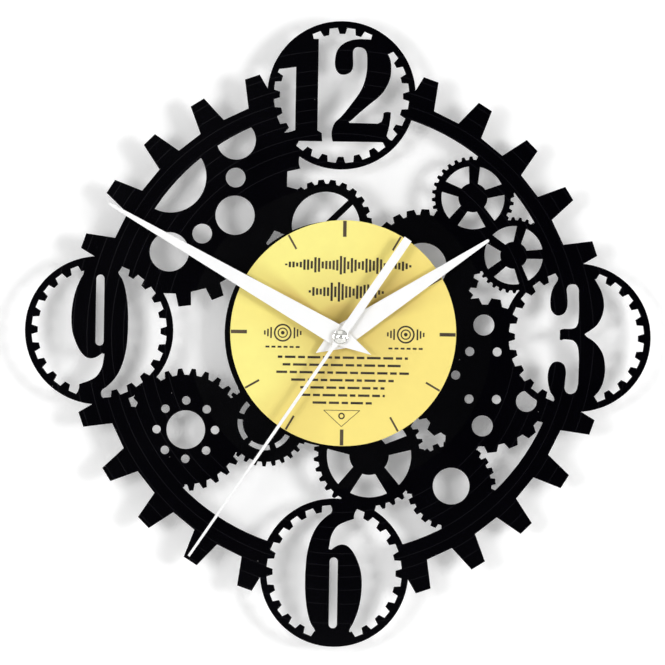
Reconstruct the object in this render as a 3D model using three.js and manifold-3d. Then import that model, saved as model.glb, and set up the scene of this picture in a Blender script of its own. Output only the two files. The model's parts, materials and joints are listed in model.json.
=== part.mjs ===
// Wall clock cut from a long-playing record, with its battery movement.
// Millimetres. +Z is up, the dial faces -Y and the wall is the plane y = 0.
// The origin is on the shaft axis, at the back face of the movement.
// Depths are counted forward from the wall, so a depth d lies at y = -d.

import * as THREE from 'three';
import { mergeVertices } from 'three/addons/utils/BufferGeometryUtils.js';
import Module from 'manifold-3d';

// Fits, how far a cutting tool runs past a face, and how far a joined solid is sunk into its neighbour
const seat = 0.02;
const running = 0.05;
const loose = 0.3;
const past = 1;
const sunk = 0.5;

// Record and label
const recordThickness = 2;
const spindleHole = 3.62;
const patternOffset = new THREE.Vector2(-1.2, 1.4);
const hubRadius = 54.3;
const labelRadius = 54.2;
const labelOffset = new THREE.Vector2(1.4, 1.85);
const labelThickness = 0.3;
const rimInner = 106.6;
const rimInnerOffset = new THREE.Vector2(1.2, 1.5);
const rimRoot = 116.2;
const rimTip = 129.9;
const rimTeeth = 28;
const rimRootWidth = 13;
const rimTipWidth = 7.5;
const bedLimit = 110;
const medallionReach = 114.5;
const medallionOuter = 35.6;
const medallionRoot = 32.4;
const medallionTip = 29.4;
const medallionTeeth = 24;
const medallionRootWidth = 4.6;
const medallionTipWidth = 2.7;
const numeralLimit = 34;

// Shells and plates of the movement
const shellWall = 1.5;
const shellCorner = 3;
const shellSplit = 8.5;
const plateThickness = 0.7;
const bayWall = 1;
const bayLip = 0.3;
const postRadius = 1.2;
const screwHead = 1.6;
const screwHeadHeight = 1.1;
const screwShank = 0.75;
const screwBoss = 2.2;
const screwLength = 12;
const screwSunk = 0.2;
const screwSlot = 0.5;

// Cell and contacts
const cellRadius = 7.25;
const cellBody = 49;
const cellButton = 1.5;
const cellButtonRadius = 2.7;
const cellChamfer = 0.5;
const contactThickness = 0.38;
const contactHalfHeight = 5;
const contactHalfDepth = 4.5;
const springTravel = 1.65;
const springHalfWidth = 1.6;
const trackWidth = 1.2;
const tabWidth = 2;
const tabInset = 0.5;

// Wheel train: tooth counts, modules and levels
const wheelThickness = 0.7;
const levelGap = 1;
const pinionProud = 0.25;
const secondsTeeth = 30;
const secondsPinionTeeth = 6;
const thirdTeeth = 45;
const thirdPinionTeeth = 6;
const centreTeeth = 48;
const cannonTeeth = 10;
const motionTeeth = 30;
const motionPinionTeeth = 8;
const hourTeeth = 32;
const stepTeeth = 36;
const stepPinionTeeth = 6;
const rotorPinionTeeth = 6;
const settingTeeth = 10;
const trainModule = 0.4;
const motionModule = 0.42;
const rotorModule = 0.25;
const thirdBearing = 40;
const stepBearing = 150;
const rotorBearing = 170;
const motionBearing = 100;
const settingBearing = 150;
const secondsArbor = 0.5;
const wheelArbor = 0.4;
const minuteTubeWall = 1;
const hourTubeWall = 0.85;
const bushWall = 0.95;
const bushFlange = 4.6;
const bushFlangeHeight = 0.8;

// Motor and board
const statorThickness = 1;
const magnetRadius = 3;
const magnetHeight = 2.6;
const statorLeg = 4;
const coreWidth = 3;
const coreThickness = 1;
const coilFlange = 4.6;
const coilFlangeThickness = 0.8;
const coilWinding = 4.2;
const boardThickness = 1;
const chipRadius = 2.6;
const chipHeight = 1.2;
const crystalRadius = 1.1;
const crystalLength = 6;

// Stack on the front of the movement
const hangerThickness = 0.8;
const hangerWidth = 18;
const hangerRise = 16;
const nailHole = 4;
const nailSlot = 1.7;
const nailDrop = 1.6;
const rubberThickness = 1;
const rubberRadius = 10;
const washerThickness = 0.5;
const washerRadius = 5.6;
const nutHeight = 2.2;
const nutAcrossFlats = 10;
const bushProud = 0.8;

// Hands, measured along each blade from the shaft
const bladeThickness = 0.5;
const handGap = 0.4;
const colletWall = 0.9;
const colletFlange = 0.8;
const colletHeight = 2;
const hourLength = 85;
const hourTail = 14;
const hourHalfWidth = 5.75;
const hourTipHalf = 0.75;
const hourAngle = 56;
const minuteLength = 128;
const minuteTail = 17.2;
const minuteHalfWidth = 5.1;
const minuteTipHalf = 0.7;
const minuteAngle = 299.1;
const secondLength = 127.3;
const secondTail = 57;
const secondTailHalf = 2.05;
const secondRootHalf = 0.85;
const secondTipHalf = 0.6;
const secondAngle = 213.8;
const capRadius = 3.6;
const capHeight = 1.2;

const wasm = await Module();
wasm.setup();
const rad = THREE.MathUtils.degToRad;

// Solids from three.js geometry, and back
function solidOf(geometry) {
  const bare = geometry.clone();
  bare.deleteAttribute('normal');
  bare.deleteAttribute('uv');
  const merged = mergeVertices(bare, 1e-4);
  const vertProperties = new Float32Array(merged.attributes.position.array);
  const triVerts = new Uint32Array(merged.index.array);
  let volume = 0;
  const a = new THREE.Vector3();
  const b = new THREE.Vector3();
  const c = new THREE.Vector3();
  for (let i = 0; i < triVerts.length; i += 3) {
    a.fromArray(vertProperties, triVerts[i] * 3);
    b.fromArray(vertProperties, triVerts[i + 1] * 3);
    c.fromArray(vertProperties, triVerts[i + 2] * 3);
    volume += a.dot(b.cross(c));
  }
  if (volume < 0) {
    for (let i = 0; i < triVerts.length; i += 3) {
      const keep = triVerts[i];
      triVerts[i] = triVerts[i + 1];
      triVerts[i + 1] = keep;
    }
  }
  return new wasm.Manifold(new wasm.Mesh({ numProp: 3, vertProperties, triVerts }));
}

function geometryOf(solid) {
  const mesh = solid.asOriginal().simplify(1e-3).getMesh();
  const geometry = new THREE.BufferGeometry();
  geometry.setAttribute('position', new THREE.BufferAttribute(new Float32Array(mesh.vertProperties), 3));
  geometry.setIndex(new THREE.BufferAttribute(new Uint32Array(mesh.triVerts), 1));
  geometry.computeVertexNormals();
  return geometry;
}

function join(...solids) {
  return solids.reduce((whole, next) => whole.add(next));
}

function cut(solid, ...tools) {
  return tools.reduce((whole, next) => whole.subtract(next), solid);
}

// A flat outline in x and z, extruded forward from depth d0 to depth d1
function slab(outline, d0, d1) {
  const shape = outline instanceof THREE.Shape ? outline : new THREE.Shape(outline);
  const geometry = new THREE.ExtrudeGeometry(shape, {
    depth: d1 - d0,
    bevelEnabled: false,
    curveSegments: 4,
  });
  geometry.rotateX(Math.PI / 2);
  geometry.translate(0, -d0, 0);
  return solidOf(geometry);
}

function rod(radius, d0, d1, x = 0, z = 0, sides = 16) {
  const geometry = new THREE.CylinderGeometry(radius, radius, d1 - d0, sides);
  geometry.translate(x, -(d0 + d1) / 2, z);
  return solidOf(geometry);
}

function block(x0, x1, d0, d1, z0, z1) {
  const geometry = new THREE.BoxGeometry(x1 - x0, d1 - d0, z1 - z0);
  geometry.translate((x0 + x1) / 2, -(d0 + d1) / 2, (z0 + z1) / 2);
  return solidOf(geometry);
}

// A turned piece about the shaft axis from a closed list of radius and depth pairs
function turned(profile, sides = 24) {
  const points = profile.map(([r, d]) => new THREE.Vector2(r, -d));
  if (profile.every(([r]) => r > 0)) {
    points.push(points[0].clone());
  }
  return solidOf(new THREE.LatheGeometry(points, sides));
}

function polar(radius, degrees, x = 0, z = 0) {
  return new THREE.Vector2(x + radius * Math.cos(rad(degrees)), z + radius * Math.sin(rad(degrees)));
}

function roundedBox(x0, x1, z0, z1, corner) {
  const shape = new THREE.Shape();
  shape.absarc(x1 - corner, z0 + corner, corner, -Math.PI / 2, 0);
  shape.absarc(x1 - corner, z1 - corner, corner, 0, Math.PI / 2);
  shape.absarc(x0 + corner, z1 - corner, corner, Math.PI / 2, Math.PI);
  shape.absarc(x0 + corner, z0 + corner, corner, Math.PI, 1.5 * Math.PI);
  return shape;
}

// An outline with straight-sided teeth; inward teeth when tip is less than root
function toothed({ x = 0, z = 0, teeth, root, tip, rootWidth, tipWidth, phase = 0 }) {
  const points = [];
  for (let k = 0; k < teeth; k += 1) {
    const turn = rad(phase + (360 * k) / teeth);
    const out = new THREE.Vector2(Math.cos(turn), Math.sin(turn));
    const side = new THREE.Vector2(-out.y, out.x);
    const corners = [
      [root, -rootWidth / 2],
      [tip, -tipWidth / 2],
      [tip, tipWidth / 2],
      [root, rootWidth / 2],
    ];
    for (const [r, s] of corners) {
      points.push(new THREE.Vector2(x, z).addScaledVector(out, r).addScaledVector(side, s));
    }
  }
  return points;
}

// Wheels of the train: short pointed teeth with plenty of backlash
function wheelTeeth(teeth, module, phase, x = 0, z = 0) {
  const pitch = (module * teeth) / 2;
  const root = pitch - 1.45 * module;
  const tip = pitch + 0.7 * module;
  const half = THREE.MathUtils.radToDeg((0.1 * Math.PI * module) / tip);
  const points = [];
  for (let k = 0; k < teeth; k += 1) {
    const middle = phase + (360 * k) / teeth;
    points.push(polar(tip, middle - half, x, z));
    points.push(polar(tip, middle + half, x, z));
    points.push(polar(root, middle + 180 / teeth, x, z));
  }
  return points;
}

// The phase that puts a follower in mesh with a leader at the given bearing
function meshed(leaderTeeth, leaderPhase, followerTeeth, bearing) {
  const pitch = 360 / leaderTeeth;
  const lag = (((bearing - leaderPhase) % pitch) + pitch) % pitch;
  return bearing + 180 + (lag * leaderTeeth) / followerTeeth + 180 / followerTeeth;
}

// A smooth open run through measured points
function curve(points, steps) {
  return new THREE.SplineCurve(points.map(([x, z]) => new THREE.Vector2(x, z))).getPoints(steps);
}

function straight(points) {
  return points.map(([x, z]) => new THREE.Vector2(x, z));
}

const clock = new THREE.Group();

function place(name, solid, material) {
  const mesh = new THREE.Mesh(solid.isBufferGeometry ? solid : geometryOf(solid), material);
  mesh.name = name;
  clock.add(mesh);
  return mesh;
}

function finish(color, roughness, metalness) {
  return new THREE.MeshStandardMaterial({ color, roughness, metalness });
}

const vinyl = finish(0x0b0b0d, 0.28, 0);
const gold = finish(0xf2d873, 0.45, 0.35);
const white = finish(0xfbfbfa, 0.45, 0);
const steel = finish(0xc9ccd0, 0.25, 1);
const brass = finish(0xc9a548, 0.3, 1);
const rubber = finish(0x1c1c1c, 0.85, 0);
const blackPlastic = finish(0x18181a, 0.55, 0);
const ivoryPlastic = finish(0xe9e5d6, 0.5, 0);
const copper = finish(0xb0652f, 0.35, 1);
const boardGreen = finish(0x2c6b45, 0.5, 0);

// Depth levels of the movement, each from the one behind it
const stepLevel = shellWall + 1.3;
const secondsLevel = stepLevel + wheelThickness + levelGap;
const thirdLevel = secondsLevel + wheelThickness + levelGap;
const statorLevel = thirdLevel + wheelThickness + 0.4;
const centreLevel = statorLevel + statorThickness + levelGap;
const plateLevel = centreLevel + wheelThickness + 0.6;
const motionLevel = plateLevel + plateThickness + 0.5;
const hourLevel = motionLevel + wheelThickness + 0.8;
const trainFront = hourLevel + wheelThickness + 0.7 + bushFlangeHeight;
const cellRear = 0.9;
const frontInner = Math.max(trainFront, cellRear + 2 * cellRadius + 0.1);
const caseFront = frontInner + shellWall;

// Depth levels in front of the movement
const hangerLevel = caseFront + seat;
const rubberLevel = hangerLevel + hangerThickness + seat;
const recordLevel = rubberLevel + rubberThickness + seat;
const labelLevel = recordLevel + recordThickness + seat;
const washerLevel = labelLevel + labelThickness + seat;
const nutLevel = washerLevel + washerThickness + seat;
const bushEnd = nutLevel + nutHeight + bushProud;
const hourColletLevel = bushEnd + handGap;
const hourTubeEnd = hourColletLevel + colletHeight + 0.2;
const minuteColletLevel = hourTubeEnd + handGap;
const minuteTubeEnd = minuteColletLevel + colletHeight + 0.2;
const sleeveLevel = minuteTubeEnd + handGap;
const secondBladeLevel = sleeveLevel + colletFlange + seat;
const capLevel = secondBladeLevel + bladeThickness + seat;

// Coaxial radii, from the seconds arbor outwards
const minuteBore = secondsArbor + running;
const minuteOuter = minuteBore + minuteTubeWall;
const hourBore = minuteOuter + running;
const hourOuter = hourBore + hourTubeWall;
const bushBore = hourOuter + running;
const bushOuter = bushBore + bushWall;

// Wheel centres
const thirdSpan = (trainModule * (secondsPinionTeeth + thirdTeeth)) / 2;
const centreModule = (2 * thirdSpan) / (thirdPinionTeeth + centreTeeth);
const stepSpan = (trainModule * (stepPinionTeeth + secondsTeeth)) / 2;
const rotorSpan = (rotorModule * (rotorPinionTeeth + stepTeeth)) / 2;
const motionSpan = (motionModule * (cannonTeeth + motionTeeth)) / 2;
const hourModule = (2 * motionSpan) / (motionPinionTeeth + hourTeeth);
const settingSpan = (motionModule * (settingTeeth + motionTeeth)) / 2;
const thirdAt = polar(thirdSpan, thirdBearing);
const stepAt = polar(stepSpan, stepBearing);
const rotorAt = polar(rotorSpan, rotorBearing, stepAt.x, stepAt.y);
const motionAt = polar(motionSpan, motionBearing);
const settingAt = polar(settingSpan, settingBearing, motionAt.x, motionAt.y);

// Inside of the case: the cell sets the width, the wheels and the cell the height
const centreTip = centreModule * (centreTeeth / 2 + 0.7);
const bayTop = -(centreTip + 1.1);
const bayBottom = bayTop - bayWall;
const cellZ = bayBottom - 0.25 - cellRadius;
const cellDepth = frontInner - 0.1 - cellRadius;
const insideBottom = cellZ - cellRadius - 0.35;
const insideHalf = (cellBody + cellButton + springTravel + 2 * (contactThickness + seat) + 0.05) / 2;
const coilZ = thirdAt.y + trainModule * (thirdTeeth / 2 + 0.7) + coilFlange;
const insideTop = coilZ + coilFlange + 1.4;
const cellLeft = -insideHalf + seat + contactThickness + springTravel;
const cellRight = cellLeft + cellBody;

// Record: gear silhouettes laid over each other inside a toothed rim
const recordFront = recordLevel + recordThickness;

function sheet(outline) {
  return slab(outline, recordLevel, recordFront);
}

function punch(outline) {
  return slab(outline, recordLevel - past, recordFront + past);
}

function roundPunch(radius, x, z) {
  const sides = Math.max(12, Math.round(8 * Math.sqrt(radius)));
  return rod(radius, recordLevel - past, recordFront + past, x, z, sides);
}

const gears = [
  { x: -81.45, z: 74.25, teeth: 24, root: 56.05, tip: 62.45, rootWidth: 7.4, tipWidth: 6.1, phase: 7.2 },
  { x: -6.5, z: 51.8, teeth: 24, root: 20.15, tip: 22.2, rootWidth: 3.9, tipWidth: 2.6, phase: 7 },
  { x: 63.8, z: 66.4, teeth: 32, root: 18.2, tip: 19.8, rootWidth: 2.2, tipWidth: 1.3, phase: 3.6 },
  { x: 83.8, z: 39.1, teeth: 32, root: 16.9, tip: 18.3, rootWidth: 2.1, tipWidth: 1.1, phase: 1.9 },
  { x: 40.2, z: 32.8, teeth: 24, root: 25, tip: 27.7, rootWidth: 4.9, tipWidth: 3.7, phase: 13.2 },
  { x: 70, z: -18.8, teeth: 22, root: 33.9, tip: 37.2, rootWidth: 6.9, tipWidth: 4.5, phase: -0.6 },
  { x: 55.5, z: -72.1, teeth: 24, root: 19.3, tip: 21.4, rootWidth: 3.5, tipWidth: 2.7, phase: 21.9 },
  { x: 15.9, z: -57.9, teeth: 32, root: 24.4, tip: 26.6, rootWidth: 3, tipWidth: 1.5, phase: 5.2 },
  { x: -72.2, z: -47, teeth: 28, root: 26.3, tip: 29.4, rootWidth: 3.7, tipWidth: 2, phase: 19.1 },
  { x: -34, z: -42.9, teeth: 28, root: 19, tip: 21.2, rootWidth: 2.4, tipWidth: 1.6, phase: 11.8 },
];
const [
  sunGear, barGear, fanGear, sideFanGear, plainGear,
  dotGear, eyeGear, lowFanGear, ringGear, slotGear,
] = gears;

// Round holes in a gear, at one radius and a list of angles
const roundHoles = [
  { gear: sunGear, radius: 17.2, reach: 0, angles: [0] },
  { gear: sunGear, radius: 9.4, reach: 36.1, angles: [-90, -30, 30] },
  { gear: sunGear, radius: 4.7, reach: 31.3, angles: [0, -60] },
  { gear: plainGear, radius: 11.5, reach: 0, angles: [0] },
  { gear: dotGear, radius: 5, reach: 24.2, angles: [90, -90, -30] },
  { gear: dotGear, radius: 2.15, reach: 13.15, angles: [60, 120, 180, 240, 300] },
  { gear: eyeGear, radius: 8.8, reach: 0, angles: [0] },
  { gear: ringGear, radius: 9.25, reach: 0, angles: [0] },
  { gear: ringGear, radius: 2, reach: 14, angles: [0, 45, 90, 135, 180, 225, 270, 315] },
];

// Five-spoked gears: fan windows between tapering spokes
const fans = [
  { gear: fanGear, inner: 7, outer: 15.1, spokeInner: 4.2, spokeOuter: 5.3, phase: 268, spokes: 5 },
  { gear: sideFanGear, inner: 6.5, outer: 14, spokeInner: 3.9, spokeOuter: 4.7, phase: 39, spokes: 5 },
  { gear: lowFanGear, inner: 9.5, outer: 20.2, spokeInner: 5.6, spokeOuter: 7.1, phase: 270, spokes: 5 },
];

// Small round webs that close the pinholes where two silhouettes only graze: x, z and radius
const webs = [
  [-24.8, 87.3, 5.8], [-25.2, 62.3, 1.8], [-27, 57.4, 2.2], [63, 47.6, 1.6], [66.1, 35.4, 2.3],
  [101, 34.2, 2.5], [60.9, 15.8, 2.1], [-89, -25.7, 2], [-93.9, -30, 2.6], [-98.1, -40.1, 1.3],
  [60.8, -52.5, 1.7], [41.3, -57.6, 1.6], [16.3, -82.6, 1.3], [78.7, 55.6, 1], [-44.1, 32, 1],
  [66, 45.1, 3.9], [101, 37.9, 1.4], [94.2, 52.9, 1.4], [101, -34.1, 1.9], [68, 84.4, 1.2],
  [-42.9, 33.3, 1.4], [-26.9, 60.6, 2], [-28, 92, 0.8], [35.9, -72.4, 1], [69.9, 49.1, 0.9],
  [60.4, 47.8, 1.4], [66.9, 40.7, 0.8], [67.9, 33.4, 1], [66, -55.8, 0.6], [99.3, 32.2, 0.6],
  [65.3, 41.3, 1.6], [-41.9, 34.5, 0.6], [89.5, 51.7, 0.8], [82.5, 69.3, 1.2], [-73.6, -73.6, 1.3],
];

function fanWindow({ gear, inner, outer, spokeInner, spokeOuter, phase, spokes }, k) {
  const middle = phase + (360 * k) / spokes;
  const half = 180 / spokes;
  const innerHalf = half - THREE.MathUtils.radToDeg(Math.asin(spokeInner / 2 / inner));
  const outerHalf = half - THREE.MathUtils.radToDeg(Math.asin(spokeOuter / 2 / outer));
  const points = [];
  for (let i = 0; i <= 5; i += 1) {
    points.push(polar(outer, middle - outerHalf + (2 * outerHalf * i) / 5, gear.x, gear.z));
  }
  for (let i = 0; i <= 3; i += 1) {
    points.push(polar(inner, middle + innerHalf - (2 * innerHalf * i) / 3, gear.x, gear.z));
  }
  return points;
}

function arcSlot(gear, inner, outer, middle, half) {
  const points = [];
  for (let i = 0; i <= 5; i += 1) {
    points.push(polar(outer, middle - half + (2 * half * i) / 5, gear.x, gear.z));
  }
  for (let i = 0; i <= 5; i += 1) {
    points.push(polar(inner, middle + half - (2 * half * i) / 5, gear.x, gear.z));
  }
  return points;
}

function halfMoon(gear, radius, angle, barWidth) {
  const start = THREE.MathUtils.radToDeg(Math.asin(barWidth / 2 / radius));
  const points = [];
  for (let i = 0; i <= 14; i += 1) {
    points.push(polar(radius, angle + start + ((180 - 2 * start) * i) / 14, gear.x, gear.z));
  }
  return points;
}

function recordSolid() {
  let bed = join(...gears.map((gear) => sheet(toothed(gear))));
  bed = join(bed, ...webs.map(([x, z, r]) => rod(r, recordLevel, recordFront, x, z, 12)));
  bed = bed.intersect(rod(bedLimit, recordLevel - past, recordFront + past, 0, 0, 96));
  const tools = [];
  for (const { gear, radius, reach, angles } of roundHoles) {
    for (const angle of angles) {
      const at = polar(reach, angle, gear.x, gear.z);
      tools.push(roundPunch(radius, at.x, at.y));
    }
  }
  for (const fan of fans) {
    for (let k = 0; k < fan.spokes; k += 1) {
      tools.push(punch(fanWindow(fan, k)));
    }
  }
  tools.push(punch(halfMoon(barGear, 16.3, 44.5, 3.1)));
  tools.push(punch(halfMoon(barGear, 16.3, 224.5, 3.1)));
  for (const middle of [137, 197, 257, 317]) {
    tools.push(punch(arcSlot(slotGear, 11, 13.4, middle, 23)));
  }
  bed = cut(bed, join(...tools));

  const rim = cut(
    sheet(toothed({
      teeth: rimTeeth,
      root: rimRoot,
      tip: rimTip,
      rootWidth: rimRootWidth,
      tipWidth: rimTipWidth,
      phase: 45,
    })),
    rod(rimInner, recordLevel - past, recordFront + past, rimInnerOffset.x, rimInnerOffset.y, 120),
  );
  const hub = rod(hubRadius, recordLevel, recordFront, 0, 0, 96);
  let whole = join(bed, rim, hub);

  const numerals = numeralSolids();
  for (const { angle, figures } of numerals) {
    const at = polar(medallionReach, angle);
    whole = cut(whole, rod(medallionOuter - 0.4, recordLevel - past, recordFront + past, at.x, at.y, 72));
    const ring = cut(
      rod(medallionOuter, recordLevel, recordFront, at.x, at.y, 72),
      punch(toothed({
        x: at.x,
        z: at.y,
        teeth: medallionTeeth,
        root: medallionTip,
        tip: medallionRoot,
        rootWidth: (2 * Math.PI * medallionTip) / medallionTeeth - medallionTipWidth,
        tipWidth: (2 * Math.PI * medallionRoot) / medallionTeeth - medallionRootWidth,
        phase: 180 / medallionTeeth,
      })),
    );
    const limit = rod(numeralLimit, recordLevel - past, recordFront + past, at.x, at.y, 48);
    whole = join(whole, ring, ...figures.map((figure) => figure.intersect(limit)));
  }
  const shaftX = -patternOffset.x;
  const shaftZ = -patternOffset.y;
  return cut(whole, rod(spindleHole, recordLevel - past, recordFront + past, shaftX, shaftZ, 24));
}

// Numerals, drawn in the frame of the cut pattern; each one runs into its ring
function numeralSolids() {
  const one = straight([
    [-8.9, 92.3], [-9.2, 96.3], [-11.3, 97.5], [-11.3, 141.4], [-24, 141.4], [-33, 133], [-31, 126.6],
    [-26, 127.2], [-22, 127.8], [-22, 97.5], [-25, 96.5], [-30, 95.5], [-28, 92.3],
  ]);
  const two = [
    ...straight([[-3.9, 92.3]]),
    ...curve([[-3.9, 99.5], [-2.6, 102], [-1, 103.2], [4.5, 110], [9, 116.5], [11, 121.5], [12, 127],
      [12, 132], [11.7, 135], [10.5, 137], [8, 137.7], [6, 137.2], [5.2, 135], [5.4, 130], [5, 127],
      [3.5, 125.2], [0.5, 124.4], [-2, 125.5], [-3.3, 128.5], [-3.4, 131], [-2.8, 135], [-1, 138],
      [2, 140.2], [6, 141.4]], 32),
    ...straight([[13.5, 141.5], [19, 141.5], [26, 136.5], [21.8, 135]]),
    ...curve([[23.3, 131.5], [23.7, 127], [23.3, 123.3], [21.9, 119.6], [19.9, 116.2], [16, 112.3],
      [11, 108.3], [6.2, 103.8], [3.8, 101.7]], 10),
    ...straight([[4, 101.4], [17.5, 101.2], [19.2, 102], [20, 104], [20.2, 106.3], [21.3, 106.8],
      [23.8, 106.6], [23.3, 101], [22, 95.5], [24, 92], [19, 92.3]]),
  ];
  const nineLeft = curve([[-122.3, 27.5], [-124.5, 23], [-126.3, 18], [-127.5, 12], [-127.9, 6], [-127.5, 0],
    [-126, -5], [-123.5, -10], [-120.5, -13], [-117.5, -13.5], [-115, -12.5], [-113, -11]], 15);
  const nineTail = curve([[-111.8, -11.3], [-112.2, -14], [-113, -18], [-115, -21.5], [-117, -23.2],
    [-120, -24.6], [-123.7, -25.9]], 7);
  const nineRight = curve([[-112.7, -28.7], [-110.5, -27], [-107, -23.5], [-104, -18.5], [-102, -12],
    [-101, -6], [-100.6, 2], [-100.8, 10], [-101.8, 18], [-103.5, 24], [-105.8, 28]], 12);
  const nine = [
    ...nineLeft,
    ...nineTail,
    ...straight([[-124.4, -30.6], [-122.3, -32.6], [-118.5, -33.4], [-114.5, -33.7]]),
    ...nineRight,
    ...straight([[-107, 33], [-114.5, 33.5], [-122, 32]]),
  ];
  const slotHalf = 1.95;
  const slotX = -114.25;
  const slot = [];
  for (let i = 0; i <= 8; i += 1) {
    slot.push(polar(slotHalf, (180 * i) / 8, slotX, 26.7 - slotHalf));
  }
  for (let i = 0; i <= 8; i += 1) {
    slot.push(polar(slotHalf, 180 + (180 * i) / 8, slotX, -7.3 + slotHalf));
  }
  const turnPoint = (p) => new THREE.Vector2(-p.x - medallionReach, -p.y - medallionReach);
  const halfTurn = (points) => points.map(turnPoint);
  const threeLeft = [
    ...curve([[105, 27.3], [103, 24], [102, 20.5], [101.7, 16.5], [102.3, 13], [104, 11], [106, 10.5],
      [108.3, 11.5], [109.7, 14], [110, 18], [109.5, 23], [110.2, 25], [112.2, 25.6], [114.5, 25],
      [115.2, 22], [115.5, 15], [115.3, 8.5], [114.5, 5.5], [112.5, 4.4], [107.5, 4]], 24),
    ...straight([[106.5, 3.5], [106.5, -1]]),
    ...curve([[107.2, -1.4], [108, -1.1], [112, -1.1], [114, -2.3], [115.2, -4.5], [115.7, -8], [115.8, -16],
      [115.5, -22.5], [114.5, -25.8], [112, -27], [109.8, -26], [109.2, -23.5], [109.7, -18], [109.5, -15],
      [108.5, -12.8], [106.3, -11.6], [103.8, -11.9], [102, -14], [101, -18], [101.3, -22], [102.3, -26],
      [104, -28.5]], 26),
  ];
  const threeRight = [
    ...curve([[122.7, -28.8], [124.8, -26.5], [127, -23], [128.3, -18], [128.3, -12], [127, -7],
      [124.5, -3.3], [122, -1], [119.5, 0.5]], 10),
    ...straight([[118.4, 1.8]]),
    ...curve([[120.5, 3.2], [123, 5], [125.5, 8], [127, 12], [127.5, 16], [126.5, 21.5], [124.5, 25.5],
      [122.7, 28.5]], 9),
  ];
  const three = [
    ...threeLeft,
    ...straight([[105, -33], [114.5, -33.8], [124, -32.5]]),
    ...threeRight,
    ...straight([[124, 32], [114.5, 33.8], [106, 33]]),
  ];
  return [
    { angle: 90, figures: [sheet(one), sheet(two)] },
    { angle: 0, figures: [sheet(three)] },
    { angle: 180, figures: [cut(sheet(nine), punch(slot))] },
    { angle: 270, figures: [cut(sheet(halfTurn(nine)), punch(halfTurn(slot)))] },
  ];
}

const recordDisc = place('record_disc', recordSolid(), vinyl);
recordDisc.position.set(patternOffset.x, 0, patternOffset.y);

// Paper label, stuck a little off the shaft
place(
  'dial_label',
  cut(
    rod(labelRadius, labelLevel, labelLevel + labelThickness, labelOffset.x, labelOffset.y, 96),
    rod(spindleHole, labelLevel - past, labelLevel + labelThickness + past, 0, 0, 24),
  ),
  gold,
);

// Clamp stack on the bush
place(
  'rubber_washer',
  turned([
    [bushOuter + running, rubberLevel],
    [rubberRadius, rubberLevel],
    [rubberRadius, rubberLevel + rubberThickness],
    [bushOuter + running, rubberLevel + rubberThickness],
  ]),
  rubber,
);
place(
  'brass_washer',
  turned([
    [bushOuter + running, washerLevel],
    [washerRadius, washerLevel],
    [washerRadius, washerLevel + washerThickness],
    [bushOuter + running, washerLevel + washerThickness],
  ]),
  brass,
);
place(
  'hex_nut',
  cut(
    rod(nutAcrossFlats / Math.sqrt(3), nutLevel, nutLevel + nutHeight, 0, 0, 6),
    rod(bushOuter + running, nutLevel - past, nutLevel + nutHeight + past, 0, 0, 24),
  ),
  brass,
);

// Bush through the front shell, with a flange inside it
place(
  'threaded_bush',
  turned([
    [bushBore, frontInner - seat - bushFlangeHeight],
    [bushFlange, frontInner - seat - bushFlangeHeight],
    [bushFlange, frontInner - seat],
    [bushOuter, frontInner - seat],
    [bushOuter, bushEnd - 0.3],
    [bushOuter - 0.3, bushEnd],
    [bushBore, bushEnd],
  ], 24),
  brass,
);

// Nail hanger: a strip that passes over the top of the case and lies against the wall
const hangerTop = insideTop + shellWall;
const hangerBack = 0.4;
const hangerProfile = straight([
  [hangerLevel, -hangerWidth / 2],
  [hangerLevel + hangerThickness, -hangerWidth / 2],
  [hangerLevel + hangerThickness, hangerTop + seat + hangerThickness],
  [hangerBack + hangerThickness, hangerTop + seat + hangerThickness],
  [hangerBack + hangerThickness, hangerTop + hangerRise],
  [hangerBack, hangerTop + hangerRise],
  [hangerBack, hangerTop + seat],
  [hangerLevel, hangerTop + seat],
]);
const hangerStrip = new THREE.ExtrudeGeometry(new THREE.Shape(hangerProfile), {
  depth: hangerWidth,
  bevelEnabled: false,
});
hangerStrip.applyMatrix4(new THREE.Matrix4().makeBasis(
  new THREE.Vector3(0, -1, 0),
  new THREE.Vector3(0, 0, 1),
  new THREE.Vector3(-1, 0, 0),
));
hangerStrip.translate(hangerWidth / 2, 0, 0);
const nailZ = hangerTop + hangerThickness + nailHole + 2;
const nailTop = nailZ + nailHole + nailDrop;
const nailRear = hangerBack - past;
const nailFront = hangerBack + hangerThickness + past;
place(
  'hanger_plate',
  cut(
    solidOf(hangerStrip),
    rod(bushOuter + running, hangerLevel - past, hangerLevel + hangerThickness + past, 0, 0, 24),
    join(
      rod(nailHole, nailRear, nailFront, 0, nailZ, 24),
      block(-nailSlot, nailSlot, nailRear, nailFront, nailZ, nailTop),
      rod(nailSlot, nailRear, nailFront, 0, nailTop, 16),
    ),
  ),
  steel,
);

// Movement shells
const outsideHalf = insideHalf + shellWall;
const outsideBottom = insideBottom - shellWall;
const outsideTop = insideTop + shellWall;
const outsideOutline = roundedBox(-outsideHalf, outsideHalf, outsideBottom, outsideTop, shellCorner);
const insideOutline = roundedBox(-insideHalf, insideHalf, insideBottom, insideTop, shellCorner - shellWall);
const bossX = insideHalf - screwBoss - 0.1;
const bossZ = insideTop - screwBoss - 0.1;
const knobRadius = 5;
const knobHeight = 1;
const knobRear = 0.3;
const knobFloor = 0.9;
const stemRadius = 1;
const statorX0 = -insideHalf + 4;
const statorX1 = -3;
const statorHole = magnetRadius + 0.5;
const statorBottom = rotorAt.y - statorHole - 1.5;
const statorTop = rotorAt.y + statorHole + 1.5;
const boardX0 = 1;
const boardX1 = bossX - screwBoss - 0.6;
const boardZ0 = coilZ - coilFlange + 1.2;
const boardZ1 = insideTop - 0.5;
const boardLevel = statorLevel - 0.3;
const boardZ = (boardZ0 + boardZ1) / 2;
const pillarX = insideHalf - postRadius - 1.1;
const pillarLow = bayTop + postRadius + 3.4;
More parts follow.
